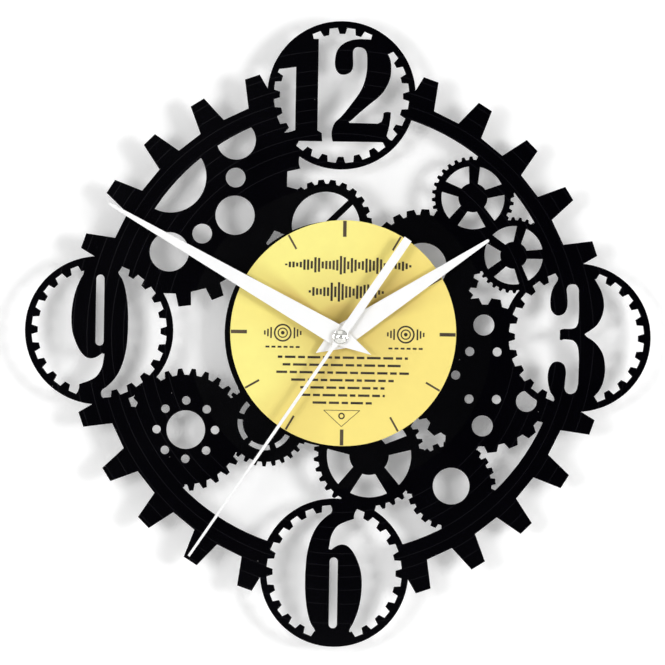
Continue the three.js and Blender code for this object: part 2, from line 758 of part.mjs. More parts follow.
const pillarHigh = coilZ - coilFlange - postRadius - 1.6;
const pivotHole = wheelArbor + running;
const pivotRear = shellWall - 0.6;

const backShell = join(
  cut(
    slab(outsideOutline, 0, shellSplit),
    slab(insideOutline, shellWall, shellSplit + past),
  ),
  block(-insideHalf + 0.9, insideHalf - 0.9, shellWall - sunk, frontInner - seat, bayBottom, bayTop),
  rod(screwBoss, shellWall - sunk, shellSplit, -bossX, bossZ),
  rod(screwBoss, shellWall - sunk, shellSplit, bossX, bossZ),
  rod(knobRadius + 1.4, shellWall - 0.2, shellWall + knobFloor, settingAt.x, settingAt.y, 24),
  rod(postRadius, shellWall - sunk, statorLevel - seat, statorX0 + statorLeg / 2, statorBottom + 3),
  rod(postRadius, shellWall + 0.2, statorLevel - seat, statorX1 - statorLeg / 2, statorTop + 3),
  rod(postRadius, shellWall - sunk, boardLevel - seat, boardX0 + 3, boardZ),
  rod(postRadius, shellWall - sunk, boardLevel - seat, boardX1 - 3, boardZ),
);
place(
  'case_back',
  cut(
    backShell,
    block(-insideHalf + bayLip, insideHalf - bayLip, -past, shellWall + past, insideBottom + 0.1, bayBottom),
    rod(knobRadius + 0.4, -past, shellWall, settingAt.x, settingAt.y, 24),
    rod(stemRadius + running, -past, shellWall + knobFloor + past, settingAt.x, settingAt.y, 16),
    rod(secondsArbor + running, pivotRear, shellWall + past, 0, 0, 16),
    rod(pivotHole, pivotRear, shellWall + past, thirdAt.x, thirdAt.y, 12),
    rod(pivotHole, pivotRear, shellWall + past, stepAt.x, stepAt.y, 12),
    rod(pivotHole, pivotRear, shellWall + past, rotorAt.x, rotorAt.y, 12),
    rod(screwHead + 0.15, -past, screwSunk + screwHeadHeight, -bossX, bossZ),
    rod(screwHead + 0.15, -past, screwSunk + screwHeadHeight, bossX, bossZ),
    rod(screwShank + running, -past, shellSplit + past, -bossX, bossZ, 12),
    rod(screwShank + running, -past, shellSplit + past, bossX, bossZ, 12),
  ),
  blackPlastic,
);
const frontSplit = shellSplit + seat;
const screwTip = screwSunk + screwHeadHeight + screwLength;
place(
  'case_front',
  cut(
    join(
      cut(
        slab(outsideOutline, frontSplit, caseFront),
        slab(insideOutline, frontSplit - past, frontInner),
      ),
      rod(screwBoss, frontSplit, frontInner + sunk, -bossX, bossZ),
      rod(screwBoss, frontSplit, frontInner + sunk, bossX, bossZ),
    ),
    rod(bushOuter + running, frontInner - past, caseFront + past, 0, 0, 24),
    rod(screwShank + running, frontSplit - past, screwTip + 0.2, -bossX, bossZ, 12),
    rod(screwShank + running, frontSplit - past, screwTip + 0.2, bossX, bossZ, 12),
  ),
  blackPlastic,
);

function caseScrew(x, z) {
  const slotLong = 0.75 * screwHead;
  const slotHalf = screwSlot / 2;
  const slotFloor = screwSunk + 0.45 * screwHeadHeight;
  const body = join(
    rod(screwHead, screwSunk, screwSunk + screwHeadHeight - seat, x, z),
    rod(screwShank, slotFloor, screwTip, x, z, 16),
  );
  return cut(
    body,
    block(x - slotLong, x + slotLong, screwSunk - past, slotFloor, z - slotHalf, z + slotHalf),
    block(x - slotHalf, x + slotHalf, screwSunk - past, slotFloor, z - slotLong, z + slotLong),
  );
}
place('case_screw_left', caseScrew(-bossX, bossZ), steel);
place('case_screw_right', caseScrew(bossX, bossZ), steel);

// Gear plate across the case, on four pillars from the back shell
const plateTop = coilZ - coilFlange - 1;
const plateFront = plateLevel + plateThickness;
const motionPost = 0.6;
place(
  'gear_plate',
  cut(
    join(
      block(-insideHalf + seat, insideHalf - seat, plateLevel, plateFront, bayTop + 0.1, plateTop),
      rod(postRadius, shellWall + seat, plateLevel + 0.2, -pillarX, pillarLow),
      rod(postRadius, shellWall + seat, plateLevel + 0.2, pillarX, pillarLow),
      rod(postRadius, shellWall + seat, plateLevel + 0.2, -pillarX, pillarHigh),
      rod(postRadius, shellWall + seat, plateLevel + 0.2, pillarX, pillarHigh),
      rod(motionPost, plateLevel, frontInner - 0.3, motionAt.x, motionAt.y, 16),
    ),
    rod(minuteOuter + running, plateLevel - past, plateFront + past, 0, 0, 24),
    rod(pivotHole, plateLevel - past, plateFront + past, thirdAt.x, thirdAt.y, 12),
    rod(pivotHole, plateLevel - past, plateFront + past, rotorAt.x, rotorAt.y, 12),
    rod(stemRadius + running, plateLevel - past, plateFront + past, settingAt.x, settingAt.y, 16),
  ),
  ivoryPlastic,
);

// Wheel phases, so that every pair is in mesh at rest
const secondsPinionPhase = thirdBearing;
const thirdPhase = meshed(secondsPinionTeeth, secondsPinionPhase, thirdTeeth, thirdBearing);
const thirdPinionPhase = thirdBearing + 180;
const centrePhase = meshed(thirdPinionTeeth, thirdPinionPhase, centreTeeth, thirdBearing + 180);
const secondsPhase = stepBearing;
const stepPinionPhase = meshed(secondsTeeth, secondsPhase, stepPinionTeeth, stepBearing);
const stepPhase = rotorBearing;
const rotorPhase = meshed(stepTeeth, stepPhase, rotorPinionTeeth, rotorBearing);
const cannonPhase = motionBearing;
const motionPhase = meshed(cannonTeeth, cannonPhase, motionTeeth, motionBearing);
const motionPinionPhase = motionBearing + 180;
const hourPhase = meshed(motionPinionTeeth, motionPinionPhase, hourTeeth, motionBearing + 180);
const settingPhase = meshed(motionTeeth, motionPhase, settingTeeth, settingBearing);
const arborRear = pivotRear + seat;
const arborFront = plateFront;

place(
  'seconds_wheel',
  join(
    rod(secondsArbor, arborRear, capLevel - seat, 0, 0, 16),
    slab(wheelTeeth(secondsTeeth, trainModule, secondsPhase), secondsLevel, secondsLevel + wheelThickness),
    slab(
      wheelTeeth(secondsPinionTeeth, trainModule, secondsPinionPhase),
      thirdLevel - pinionProud,
      thirdLevel + wheelThickness + pinionProud,
    ),
  ),
  ivoryPlastic,
);
place(
  'third_wheel',
  join(
    rod(wheelArbor, arborRear, arborFront, thirdAt.x, thirdAt.y, 12),
    slab(
      wheelTeeth(thirdTeeth, trainModule, thirdPhase, thirdAt.x, thirdAt.y),
      thirdLevel,
      thirdLevel + wheelThickness,
    ),
    slab(
      wheelTeeth(thirdPinionTeeth, centreModule, thirdPinionPhase, thirdAt.x, thirdAt.y),
      centreLevel - pinionProud,
      centreLevel + wheelThickness + pinionProud,
    ),
  ),
  ivoryPlastic,
);
place(
  'minute_tube',
  cut(
    join(
      rod(minuteOuter, centreLevel - 0.3, minuteTubeEnd, 0, 0, 24),
      slab(wheelTeeth(centreTeeth, centreModule, centrePhase), centreLevel, centreLevel + wheelThickness),
      slab(
        wheelTeeth(cannonTeeth, motionModule, cannonPhase),
        motionLevel - pinionProud,
        motionLevel + wheelThickness + pinionProud,
      ),
    ),
    rod(minuteBore, centreLevel - past, minuteTubeEnd + past, 0, 0, 16),
  ),
  ivoryPlastic,
);
place(
  'motion_wheel',
  cut(
    join(
      slab(
        wheelTeeth(motionTeeth, motionModule, motionPhase, motionAt.x, motionAt.y),
        motionLevel,
        motionLevel + wheelThickness,
      ),
      slab(
        wheelTeeth(motionPinionTeeth, hourModule, motionPinionPhase, motionAt.x, motionAt.y),
        motionLevel + wheelThickness - 0.1,
        hourLevel + wheelThickness + 0.2,
      ),
    ),
    rod(
      motionPost + running,
      motionLevel - past,
      hourLevel + wheelThickness + past,
      motionAt.x,
      motionAt.y,
      16,
    ),
  ),
  ivoryPlastic,
);
place(
  'hour_wheel',
  cut(
    join(
      slab(wheelTeeth(hourTeeth, hourModule, hourPhase), hourLevel, hourLevel + wheelThickness),
      rod(hourOuter, hourLevel - 0.3, hourTubeEnd, 0, 0, 24),
    ),
    rod(hourBore, hourLevel - past, hourTubeEnd + past, 0, 0, 24),
  ),
  ivoryPlastic,
);
place(
  'step_wheel',
  join(
    rod(wheelArbor, arborRear, statorLevel + statorThickness, stepAt.x, stepAt.y, 12),
    slab(
      wheelTeeth(stepTeeth, rotorModule, stepPhase, stepAt.x, stepAt.y),
      stepLevel,
      stepLevel + wheelThickness,
    ),
    slab(
      wheelTeeth(stepPinionTeeth, trainModule, stepPinionPhase, stepAt.x, stepAt.y),
      secondsLevel - pinionProud,
      secondsLevel + wheelThickness + pinionProud,
    ),
  ),
  ivoryPlastic,
);

// Motor
const magnetLevel = statorLevel + statorThickness / 2 - magnetHeight / 2;
place(
  'motor_rotor',
  join(
    rod(wheelArbor, arborRear, arborFront, rotorAt.x, rotorAt.y, 12),
    slab(
      wheelTeeth(rotorPinionTeeth, rotorModule, rotorPhase, rotorAt.x, rotorAt.y),
      stepLevel - pinionProud,
      stepLevel + wheelThickness + pinionProud,
    ),
    rod(magnetRadius, magnetLevel, magnetLevel + magnetHeight, rotorAt.x, rotorAt.y, 24),
  ),
  steel,
);
const statorHigh = coilZ + coreWidth / 2;
const statorFront = statorLevel + statorThickness;
place(
  'stator_plate',
  cut(
    join(
      block(statorX0, statorX1, statorLevel, statorFront, statorBottom, statorTop),
      block(statorX0, statorX0 + statorLeg, statorLevel, statorFront, statorBottom, statorHigh),
      block(statorX1 - statorLeg, statorX1, statorLevel, statorFront, statorBottom, statorHigh),
    ),
    rod(statorHole, statorLevel - past, statorFront + past, rotorAt.x, rotorAt.y, 32),
    rod(pivotHole, statorLevel - past, statorFront + past, stepAt.x, stepAt.y, 12),
  ),
  steel,
);
const coreLevel = statorFront + seat;
const coreFront = coreLevel + coreThickness;
const coilDepth = coreLevel + coreThickness / 2;
place(
  'coil_core',
  block(statorX0, statorX1, coreLevel, coreFront, coilZ - coreWidth / 2, coilZ + coreWidth / 2),
  steel,
);
const bobbinX0 = statorX0 + statorLeg + loose;
const bobbinX1 = statorX1 - statorLeg - loose;
const bobbinTube = 2.4;

function alongX(radius, x0, x1, sides) {
  const geometry = new THREE.CylinderGeometry(radius, radius, x1 - x0, sides);
  geometry.rotateZ(Math.PI / 2);
  geometry.translate((x0 + x1) / 2, -coilDepth, coilZ);
  return solidOf(geometry);
}
place(
  'coil_bobbin',
  cut(
    join(
      alongX(bobbinTube, bobbinX0, bobbinX1, 24),
      alongX(coilFlange, bobbinX0, bobbinX0 + coilFlangeThickness, 24),
      alongX(coilFlange, bobbinX1 - coilFlangeThickness, bobbinX1, 24),
    ),
    block(
      bobbinX0 - past,
      bobbinX1 + past,
      coreLevel - running,
      coreFront + running,
      coilZ - coreWidth / 2 - running,
      coilZ + coreWidth / 2 + running,
    ),
  ),
  ivoryPlastic,
);
const windingX0 = bobbinX0 + coilFlangeThickness + seat;
const windingX1 = bobbinX1 - coilFlangeThickness - seat;
place(
  'coil_winding',
  cut(
    alongX(coilWinding, windingX0, windingX1, 24),
    alongX(bobbinTube + running, windingX0 - past, windingX1 + past, 24),
  ),
  copper,
);

// Circuit board with its chip and crystal
const boardFront = boardLevel + boardThickness;
place('circuit_board', block(boardX0, boardX1, boardLevel, boardFront, boardZ0, boardZ1), boardGreen);
const chip = turned([
  [0, 0],
  [chipRadius, 0],
  [0.85 * chipRadius, 0.58 * chipHeight],
  [0.46 * chipRadius, 0.92 * chipHeight],
  [0, chipHeight],
], 20);
const clockChip = place('clock_chip', chip, blackPlastic);
clockChip.position.set(boardX0 + 6, -(boardFront + seat), boardZ);
const crystal = new THREE.CylinderGeometry(crystalRadius, crystalRadius, crystalLength, 16);
crystal.rotateZ(Math.PI / 2);
const quartzCrystal = place('quartz_crystal', solidOf(crystal), steel);
quartzCrystal.position.set(boardX0 + 13.5, -(boardFront + seat + crystalRadius), boardZ);

// Cell and its two contacts
const cellEnd = cellRight + cellButton;
const cell = new THREE.LatheGeometry(
  [
    [0, cellLeft],
    [cellRadius - cellChamfer, cellLeft],
    [cellRadius, cellLeft + cellChamfer],
    [cellRadius, cellRight - cellChamfer],
    [cellRadius - cellChamfer, cellRight],
    [cellButtonRadius, cellRight],
    [cellButtonRadius, cellEnd],
    [0, cellEnd],
  ].map(([r, x]) => new THREE.Vector2(r, x)),
  24,
);
cell.rotateZ(-Math.PI / 2);
const batteryCell = place('battery_cell', solidOf(cell), finish(0x3d6478, 0.35, 0.5));
batteryCell.position.set(0, -cellDepth, cellZ);

const padLow = cellZ - contactHalfHeight;
const padHigh = cellZ + contactHalfHeight;
const padRear = cellDepth - contactHalfDepth;
const padFront = cellDepth + contactHalfDepth;
const positiveFace = insideHalf - seat;
const positiveInner = positiveFace - contactThickness;
const tabRear = boardFront + seat;
const tabFront = tabRear + contactThickness;
const tabLow = boardZ0 + tabInset;
const tabTop = tabLow + tabWidth;
place(
  'contact_positive',
  join(
    block(positiveInner, positiveFace, padRear, padFront, padLow, padHigh),
    block(positiveInner, positiveFace, tabFront - tabWidth, tabFront, padHigh - sunk, tabTop),
    block(boardX1 - tabWidth, positiveFace, tabRear, tabFront, tabLow, tabTop),
  ),
  steel,
);
const negativeFace = -insideHalf + seat;
const leafInner = negativeFace + contactThickness;
const leafOuter = cellLeft - seat;
const leaf = straight([
  [leafInner - 0.1, padHigh - 0.2],
  [leafOuter, cellZ + 0.6],
  [leafOuter, cellZ - 0.6],
  [leafInner - 0.1, padLow + 0.2],
  [leafInner - 0.1, padLow + 0.9],
  [leafOuter - 0.35, cellZ - 0.5],
  [leafOuter - 0.35, cellZ + 0.5],
  [leafInner - 0.1, padHigh - 0.9],
]);
const trackRear = shellWall + seat;
const trackFront = trackRear + contactThickness;
const trackZ0 = bayTop + 0.4;
const trackZ1 = trackZ0 + trackWidth;
const riserX0 = boardX1 - trackWidth;
const riserTop = boardZ0 + tabWidth;
place(
  'contact_negative',
  join(
    block(negativeFace, leafInner, padRear, padFront, padLow, padHigh),
    slab(leaf.reverse(), cellDepth - springHalfWidth, cellDepth + springHalfWidth),
    block(negativeFace, leafInner, trackRear, padRear + trackWidth, padHigh - trackWidth, trackZ1),
    block(negativeFace, boardX1, trackRear, trackFront, trackZ0, trackZ1),
    block(riserX0, boardX1, trackRear, trackFront, trackZ0, riserTop),
    block(riserX0, boardX1, trackRear, boardLevel - seat, riserTop - contactThickness, riserTop),
  ),
  steel,
);

// Setting knob at the back, with its stem and pinion
const settingFront = motionLevel + wheelThickness + pinionProud;
place(
  'setting_knob',
  join(
    slab(
      toothed({
        x: settingAt.x,
        z: settingAt.y,
        teeth: 14,
        root: knobRadius - 0.35,
        tip: knobRadius,
        rootWidth: 1.4,
        tipWidth: 0.9,
      }),
      knobRear,
      knobRear + knobHeight,
    ),
    rod(stemRadius, knobRear + knobHeight - 0.2, settingFront, settingAt.x, settingAt.y, 16),
    slab(
      wheelTeeth(settingTeeth, motionModule, settingPhase, settingAt.x, settingAt.y),
      motionLevel - pinionProud,
      settingFront,
    ),
  ),
  ivoryPlastic,
);

// Hands: flat blades riveted to turned collets
function collet(bore, level) {
  const outer = bore + colletWall;
  return turned([
    [bore + seat, level],
    [outer + 0.9, level],
    [outer + 0.9, level + colletFlange],
    [outer, level + colletFlange],
    [outer, level + colletHeight],
    [bore + seat, level + colletHeight],
  ], 24);
}

function blade(outline, hole, level) {
  return cut(
    slab(outline, level, level + bladeThickness),
    rod(hole, level - past, level + bladeThickness + past, 0, 0, 24),
  );
}

function kite(length, tail, halfWidth, tipHalf, wideAt) {
  return straight([
    [0, -tail],
    [halfWidth, wideAt],
    [tipHalf, length - 0.6],
    [0.4 * tipHalf, length],
    [-0.4 * tipHalf, length],
    [-tipHalf, length - 0.6],
    [-halfWidth, wideAt],
  ]);
}

const hourBladeLevel = hourColletLevel + colletFlange + seat;
place('hour_collet', collet(hourOuter, hourColletLevel), brass);
const hourHand = place(
  'hour_hand',
  blade(
    kite(hourLength, hourTail, hourHalfWidth, hourTipHalf, -1),
    hourOuter + colletWall + seat,
    hourBladeLevel,
  ),
  white,
);
hourHand.rotation.y = rad(hourAngle);

const minuteBladeLevel = minuteColletLevel + colletFlange + seat;
place('minute_collet', collet(minuteOuter, minuteColletLevel), brass);
const minuteHand = place(
  'minute_hand',
  blade(
    kite(minuteLength, minuteTail, minuteHalfWidth, minuteTipHalf, 2.5),
    minuteOuter + colletWall + seat,
    minuteBladeLevel,
  ),
  white,
);
minuteHand.rotation.y = rad(minuteAngle);

// The second hand: a needle with a paddle tail, on a sleeve and under a polished cap
const sleeveOuter = secondsArbor + seat + 0.6;
place(
  'second_sleeve',
  turned([
    [secondsArbor + seat, sleeveLevel],
    [sleeveOuter + 0.7, sleeveLevel],
    [sleeveOuter + 0.7, sleeveLevel + colletFlange],
    [sleeveOuter, sleeveLevel + colletFlange],
    [sleeveOuter, secondBladeLevel + bladeThickness],
    [secondsArbor + seat, secondBladeLevel + bladeThickness],
  ], 16),
  brass,
);
const secondHand = place(
  'second_hand',
  blade(
    straight([
      [-secondTailHalf, -secondTail],
      [secondTailHalf, -secondTail],
      [secondTailHalf, 2],
      [secondRootHalf, 6],
      [secondTipHalf, secondLength],
      [-secondTipHalf, secondLength],
      [-secondRootHalf, 6],
      [-secondTailHalf, 2],
    ]),
    sleeveOuter + seat,
    secondBladeLevel,
  ),
  white,
);
secondHand.rotation.y = rad(secondAngle);
place(
  'centre_cap',
  turned([
    [0, capLevel],
    [capRadius, capLevel],
    [capRadius, capLevel + 0.35 * capHeight],
    [0.86 * capRadius, capLevel + 0.68 * capHeight],
    [0.55 * capRadius, capLevel + 0.9 * capHeight],
    [0, capLevel + capHeight],
  ], 32),
  steel,
);

export default clock;
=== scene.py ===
import json
import math

import bmesh
import bpy
from mathutils import Euler, Matrix, Vector


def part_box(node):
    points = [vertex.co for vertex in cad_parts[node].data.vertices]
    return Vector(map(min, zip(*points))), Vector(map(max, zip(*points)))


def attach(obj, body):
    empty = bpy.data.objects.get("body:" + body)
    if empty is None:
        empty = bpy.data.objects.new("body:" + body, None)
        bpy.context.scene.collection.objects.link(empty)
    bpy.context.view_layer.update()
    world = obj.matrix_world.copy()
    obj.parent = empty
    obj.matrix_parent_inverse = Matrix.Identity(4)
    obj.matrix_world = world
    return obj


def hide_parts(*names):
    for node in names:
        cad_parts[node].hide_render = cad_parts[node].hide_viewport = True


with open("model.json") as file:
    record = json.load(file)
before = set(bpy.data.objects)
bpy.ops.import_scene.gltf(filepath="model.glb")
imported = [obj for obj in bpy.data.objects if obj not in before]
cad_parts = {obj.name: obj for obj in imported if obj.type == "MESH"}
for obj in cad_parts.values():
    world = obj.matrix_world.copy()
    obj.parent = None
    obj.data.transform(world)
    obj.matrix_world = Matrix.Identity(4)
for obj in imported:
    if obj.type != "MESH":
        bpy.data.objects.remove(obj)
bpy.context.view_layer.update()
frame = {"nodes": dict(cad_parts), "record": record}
nodes = frame["nodes"]
mm = 0.001
joinDistance = 2e-6  # corners of a CAD mesh closer than this are one
print("frame loaded,", len(nodes), "nodes")


# node helpers

def addNode(tree, kind, **settings):
    node = tree.nodes.new(kind)
    for key, value in settings.items():
        setattr(node, key, value)
    return node


def feed(tree, socket, value):
    if isinstance(value, bpy.types.NodeSocket):
        tree.links.new(value, socket)
    else:
        socket.default_value = value


def maths(tree, operation, first, second=0.0, clamp=False):
    node = addNode(tree, "ShaderNodeMath", operation=operation, use_clamp=clamp)
    feed(tree, node.inputs[0], first)
    feed(tree, node.inputs[1], second)
    return node.outputs[0]


def spread(tree, value, low, high, toLow=0.0, toHigh=1.0, smooth=True):
    kind = "SMOOTHSTEP" if smooth else "LINEAR"
    node = addNode(tree, "ShaderNodeMapRange", interpolation_type=kind)
    feed(tree, node.inputs["Value"], value)
    feed(tree, node.inputs["From Min"], low)
    feed(tree, node.inputs["From Max"], high)
    feed(tree, node.inputs["To Min"], toLow)
    feed(tree, node.inputs["To Max"], toHigh)
    return node.outputs["Result"]


def tint(tree, factor, first, second):
    node = addNode(tree, "ShaderNodeMix", data_type="RGBA")
    feed(tree, node.inputs[0], factor)
    feed(tree, node.inputs[6], first)  # inputs 6 and 7 and output 2 are the colours
    feed(tree, node.inputs[7], second)
    return node.outputs[2]


def newGroup(name, inputs, outputs):
    tree = bpy.data.node_groups.new(name, "ShaderNodeTree")
    for label, default in inputs.items():
        socket = tree.interface.new_socket(name=label, in_out="INPUT", socket_type="NodeSocketFloat")
        socket.default_value = default
    for label in outputs:
        tree.interface.new_socket(name=label, in_out="OUTPUT", socket_type="NodeSocketFloat")
    return tree, tree.nodes.new("NodeGroupInput").outputs, tree.nodes.new("NodeGroupOutput").inputs


def place(tree, group, **values):
    node = addNode(tree, "ShaderNodeGroup", node_tree=group)
    for label, value in values.items():
        feed(tree, node.inputs[label], value)
    return node.outputs


def objectPoint(tree):
    return addNode(tree, "ShaderNodeTexCoord").outputs["Object"]


def newFinish(name):
    material = bpy.data.materials.new(name)
    material.use_nodes = True
    tree = material.node_tree
    return material, tree, tree.nodes["Principled BSDF"]


def bump(tree, shader, height, strength, distance):
    node = addNode(tree, "ShaderNodeBump")
    node.inputs["Strength"].default_value = strength
    node.inputs["Distance"].default_value = distance
    feed(tree, node.inputs["Height"], height)
    feed(tree, shader.inputs["Normal"], node.outputs["Normal"])


def roughen(tree, shader, grain, low, rough):
    feed(tree, shader.inputs["Roughness"], spread(tree, grain["Height"], low, 1 - low, *rough))


# effects that several finishes share

def makeGrain():
    tree, given, result = newGroup("fineGrain", {"Scale": 3000.0}, ["Height", "Tone"])
    point = objectPoint(tree)
    fine = addNode(tree, "ShaderNodeTexNoise")
    fine.inputs["Detail"].default_value = 3.0
    feed(tree, fine.inputs["Vector"], point)
    feed(tree, fine.inputs["Scale"], given["Scale"])
    broad = addNode(tree, "ShaderNodeTexNoise")
    broad.inputs["Detail"].default_value = 2.0
    feed(tree, broad.inputs["Vector"], point)
    feed(tree, broad.inputs["Scale"], maths(tree, "MULTIPLY", given["Scale"], 0.03))
    feed(tree, result["Height"], fine.outputs["Fac"])
    feed(tree, result["Tone"], spread(tree, broad.outputs["Fac"], 0.3, 0.7))
    return tree


def makeSpecks():
    tree, given, result = newGroup("dustSpecks", {"Scale": 260.0, "Share": 0.2, "Size": 0.06}, ["Mask"])
    cells = addNode(tree, "ShaderNodeTexVoronoi")
    feed(tree, cells.inputs["Vector"], objectPoint(tree))
    feed(tree, cells.inputs["Scale"], given["Scale"])
    chance = addNode(tree, "ShaderNodeSeparateColor")
    feed(tree, chance.inputs[0], cells.outputs["Color"])
    size = maths(tree, "MULTIPLY", given["Size"], chance.outputs["Green"])
    near = maths(tree, "LESS_THAN", cells.outputs["Distance"], size)
    kept = maths(tree, "LESS_THAN", chance.outputs["Red"], given["Share"])
    feed(tree, result["Mask"], maths(tree, "MULTIPLY", near, kept))
    return tree


def makeRings():
    inputs = {"Pitch": 0.0003, "Centre X": 0.0, "Centre Z": 0.0}
    tree, given, result = newGroup("turnedRings", inputs, ["Height", "Radius", "Angle"])
    split = addNode(tree, "ShaderNodeSeparateXYZ")
    feed(tree, split.inputs[0], objectPoint(tree))
    across = maths(tree, "SUBTRACT", split.outputs["X"], given["Centre X"])
    upward = maths(tree, "SUBTRACT", split.outputs["Z"], given["Centre Z"])
    squares = maths(tree, "ADD", maths(tree, "POWER", across, 2.0), maths(tree, "POWER", upward, 2.0))
    radius = maths(tree, "SQRT", squares)
    turns = maths(tree, "DIVIDE", radius, given["Pitch"])
    wave = maths(tree, "SINE", maths(tree, "MULTIPLY", turns, 2 * math.pi))
    feed(tree, result["Height"], maths(tree, "ADD", maths(tree, "MULTIPLY", wave, 0.5), 0.5))
    feed(tree, result["Radius"], radius)
    feed(tree, result["Angle"], maths(tree, "ARCTAN2", upward, across))
    return tree


def makeBand():
    tree, given, result = newGroup("ringBand", {"Radius": 0.0, "At": 0.1, "Width": 0.001}, ["Mask"])
    away = maths(tree, "ABSOLUTE", maths(tree, "SUBTRACT", given["Radius"], given["At"]))
    share = maths(tree, "DIVIDE", away, given["Width"])
    feed(tree, result["Mask"], spread(tree, share, 0.0, 1.0, 1.0, 0.0))
    return tree


def makeCutEdge():
    tree, given, result = newGroup("cutEdge", {"Start": 0.85}, ["Mask"])
    split = addNode(tree, "ShaderNodeSeparateXYZ")
    feed(tree, split.inputs[0], addNode(tree, "ShaderNodeNewGeometry").outputs["True Normal"])
    facing = maths(tree, "ABSOLUTE", split.outputs["Y"])
    feed(tree, result["Mask"], spread(tree, facing, 0.2, given["Start"], 1.0, 0.0))
    return tree


fineGrain = makeGrain()
dustSpecks = makeSpecks()
turnedRings = makeRings()
ringBand = makeBand()
cutEdge = makeCutEdge()
print("shared effects ready")


# finishes, in metres; every bump is its strength and its depth

# painted sheen: the track gaps and the run-out are tinted lighter than the black, where a real record
# shows them only by its gloss
vinylLook = {
    "black": (0.0004, 0.0003, 0.0011, 1),
    "gapSheen": (0.0026, 0.0024, 0.0038, 1),
    "runOut": (0.0006, 0.0006, 0.0011, 1),
    "cut": (0.006, 0.0058, 0.0068, 1),
    "dust": (0.32, 0.31, 0.3, 1),
    "gapsAt": (0.1375, 0.1282, 0.1215, 0.1152, 0.1097, 0.104, 0.0975, 0.0915, 0.0842),
    "gapWidth": 0.00042,
    "runOutAt": 0.0725,
    "runOutFade": 0.0004,
    "groovePitch": 0.0006,
    "groovesRough": 0.11,
    "runOutRough": 0.14,
    "gapRough": 0.2,
    "cutRough": 0.46,
    "cutStart": 0.97,
    "grainScale": 900.0,
    "grainRough": 0.02,
    "grainHeight": 0.15,
    "dustSpread": {"Scale": 210.0, "Share": 0.12, "Size": 0.07},
    "dustShows": 0.5,
    "bump": (0.02, 0.00004),
    "gloss": 0.3,
}


def vinylFinish():
    look = vinylLook
    material, tree, shader = newFinish("vinyl_pressed")
    rings = place(tree, turnedRings, Pitch=look["groovePitch"])
    gaps = None
    for at in look["gapsAt"]:
        mask = place(tree, ringBand, Radius=rings["Radius"], At=at, Width=look["gapWidth"])["Mask"]
        gaps = mask if gaps is None else maths(tree, "MAXIMUM", gaps, mask)
    runOutEnd = look["runOutAt"] + look["runOutFade"]
    runOut = spread(tree, rings["Radius"], look["runOutAt"], runOutEnd, 1.0, 0.0)
    cut = place(tree, cutEdge, Start=look["cutStart"])["Mask"]
    grain = place(tree, fineGrain, Scale=look["grainScale"])
    dust = place(tree, dustSpecks, **look["dustSpread"])["Mask"]
    # painted sheen: the run-out and the track gaps are coloured a little lighter than the black
    colour = tint(tree, runOut, look["black"], look["runOut"])
    colour = tint(tree, gaps, colour, look["gapSheen"])
    colour = tint(tree, cut, colour, look["cut"])
    colour = tint(tree, maths(tree, "MULTIPLY", dust, look["dustShows"]), colour, look["dust"])
    feed(tree, shader.inputs["Base Color"], colour)
    rough = spread(tree, runOut, 0.0, 1.0, look["groovesRough"], look["runOutRough"])
    rough = maths(tree, "MAXIMUM", rough, maths(tree, "MULTIPLY", gaps, look["gapRough"]))
    rough = maths(tree, "ADD", rough, maths(tree, "MULTIPLY", grain["Tone"], look["grainRough"]))
    rough = maths(tree, "MAXIMUM", rough, maths(tree, "MULTIPLY", cut, look["cutRough"]))
    feed(tree, shader.inputs["Roughness"], rough)
    grooved = maths(tree, "SUBTRACT", 1.0, maths(tree, "MAXIMUM", runOut, cut))
    height = maths(tree, "MULTIPLY", rings["Height"], grooved)
    height = maths(tree, "ADD", height, maths(tree, "MULTIPLY", grain["Height"], look["grainHeight"]))
    bump(tree, shader, height, *look["bump"])
    shader.inputs["Specular IOR Level"].default_value = look["gloss"]
    return material


# the label's light and shade is painted into its colour: a painted highlight of the foil towards the upper
# left and the left, painted shade towards the middle and the upper centre, and painted shade lobes for the
# shadows of the hands and the dark reflections of the foil
goldLook = {
    "bright": (0.905, 0.745, 0.207, 1),
    "freshAndHighlight": (0.92, 0.835, 0.247, 1),
    "shadeAndGrainMid": (0.66, 0.505, 0.143, 1),
    "deepShade": (0.44, 0.325, 0.064, 1),
    "centre": {"Centre X": 0.0014, "Centre Z": 0.00185},
    "reach": 0.0542,
    "highlightAt": ((120.0, 75.0), (200.0, 36.0)),  # bearing, half width
    "shadeLobes": (  # bearing, half width, depth, share of it left at the rim
        (37.0, 23.0, 0.55, 0.12),
        (151.0, 15.0, 0.42, 0.35),
        (239.0, 26.0, 0.13, 1.0),
    ),
    "shadeLobeFade": (0.48, 1.0),  # shares of the reach
    "centreShade": (0.008, 0.046, 0.33),  # from, to, depth
    "upperCentreShade": (0.008, 0.0175, 0.5),
    "upperCentreShadeAt": (95.0, 95.0),
    "ringPitch": 0.00045,
    "ringHeight": 0.4,
    "grainScale": 5200.0,
    "grainTint": 0.06,
    "rough": (0.36, 0.48),
    "bump": (0.1, 0.00002),
    "gloss": 0.3,
}


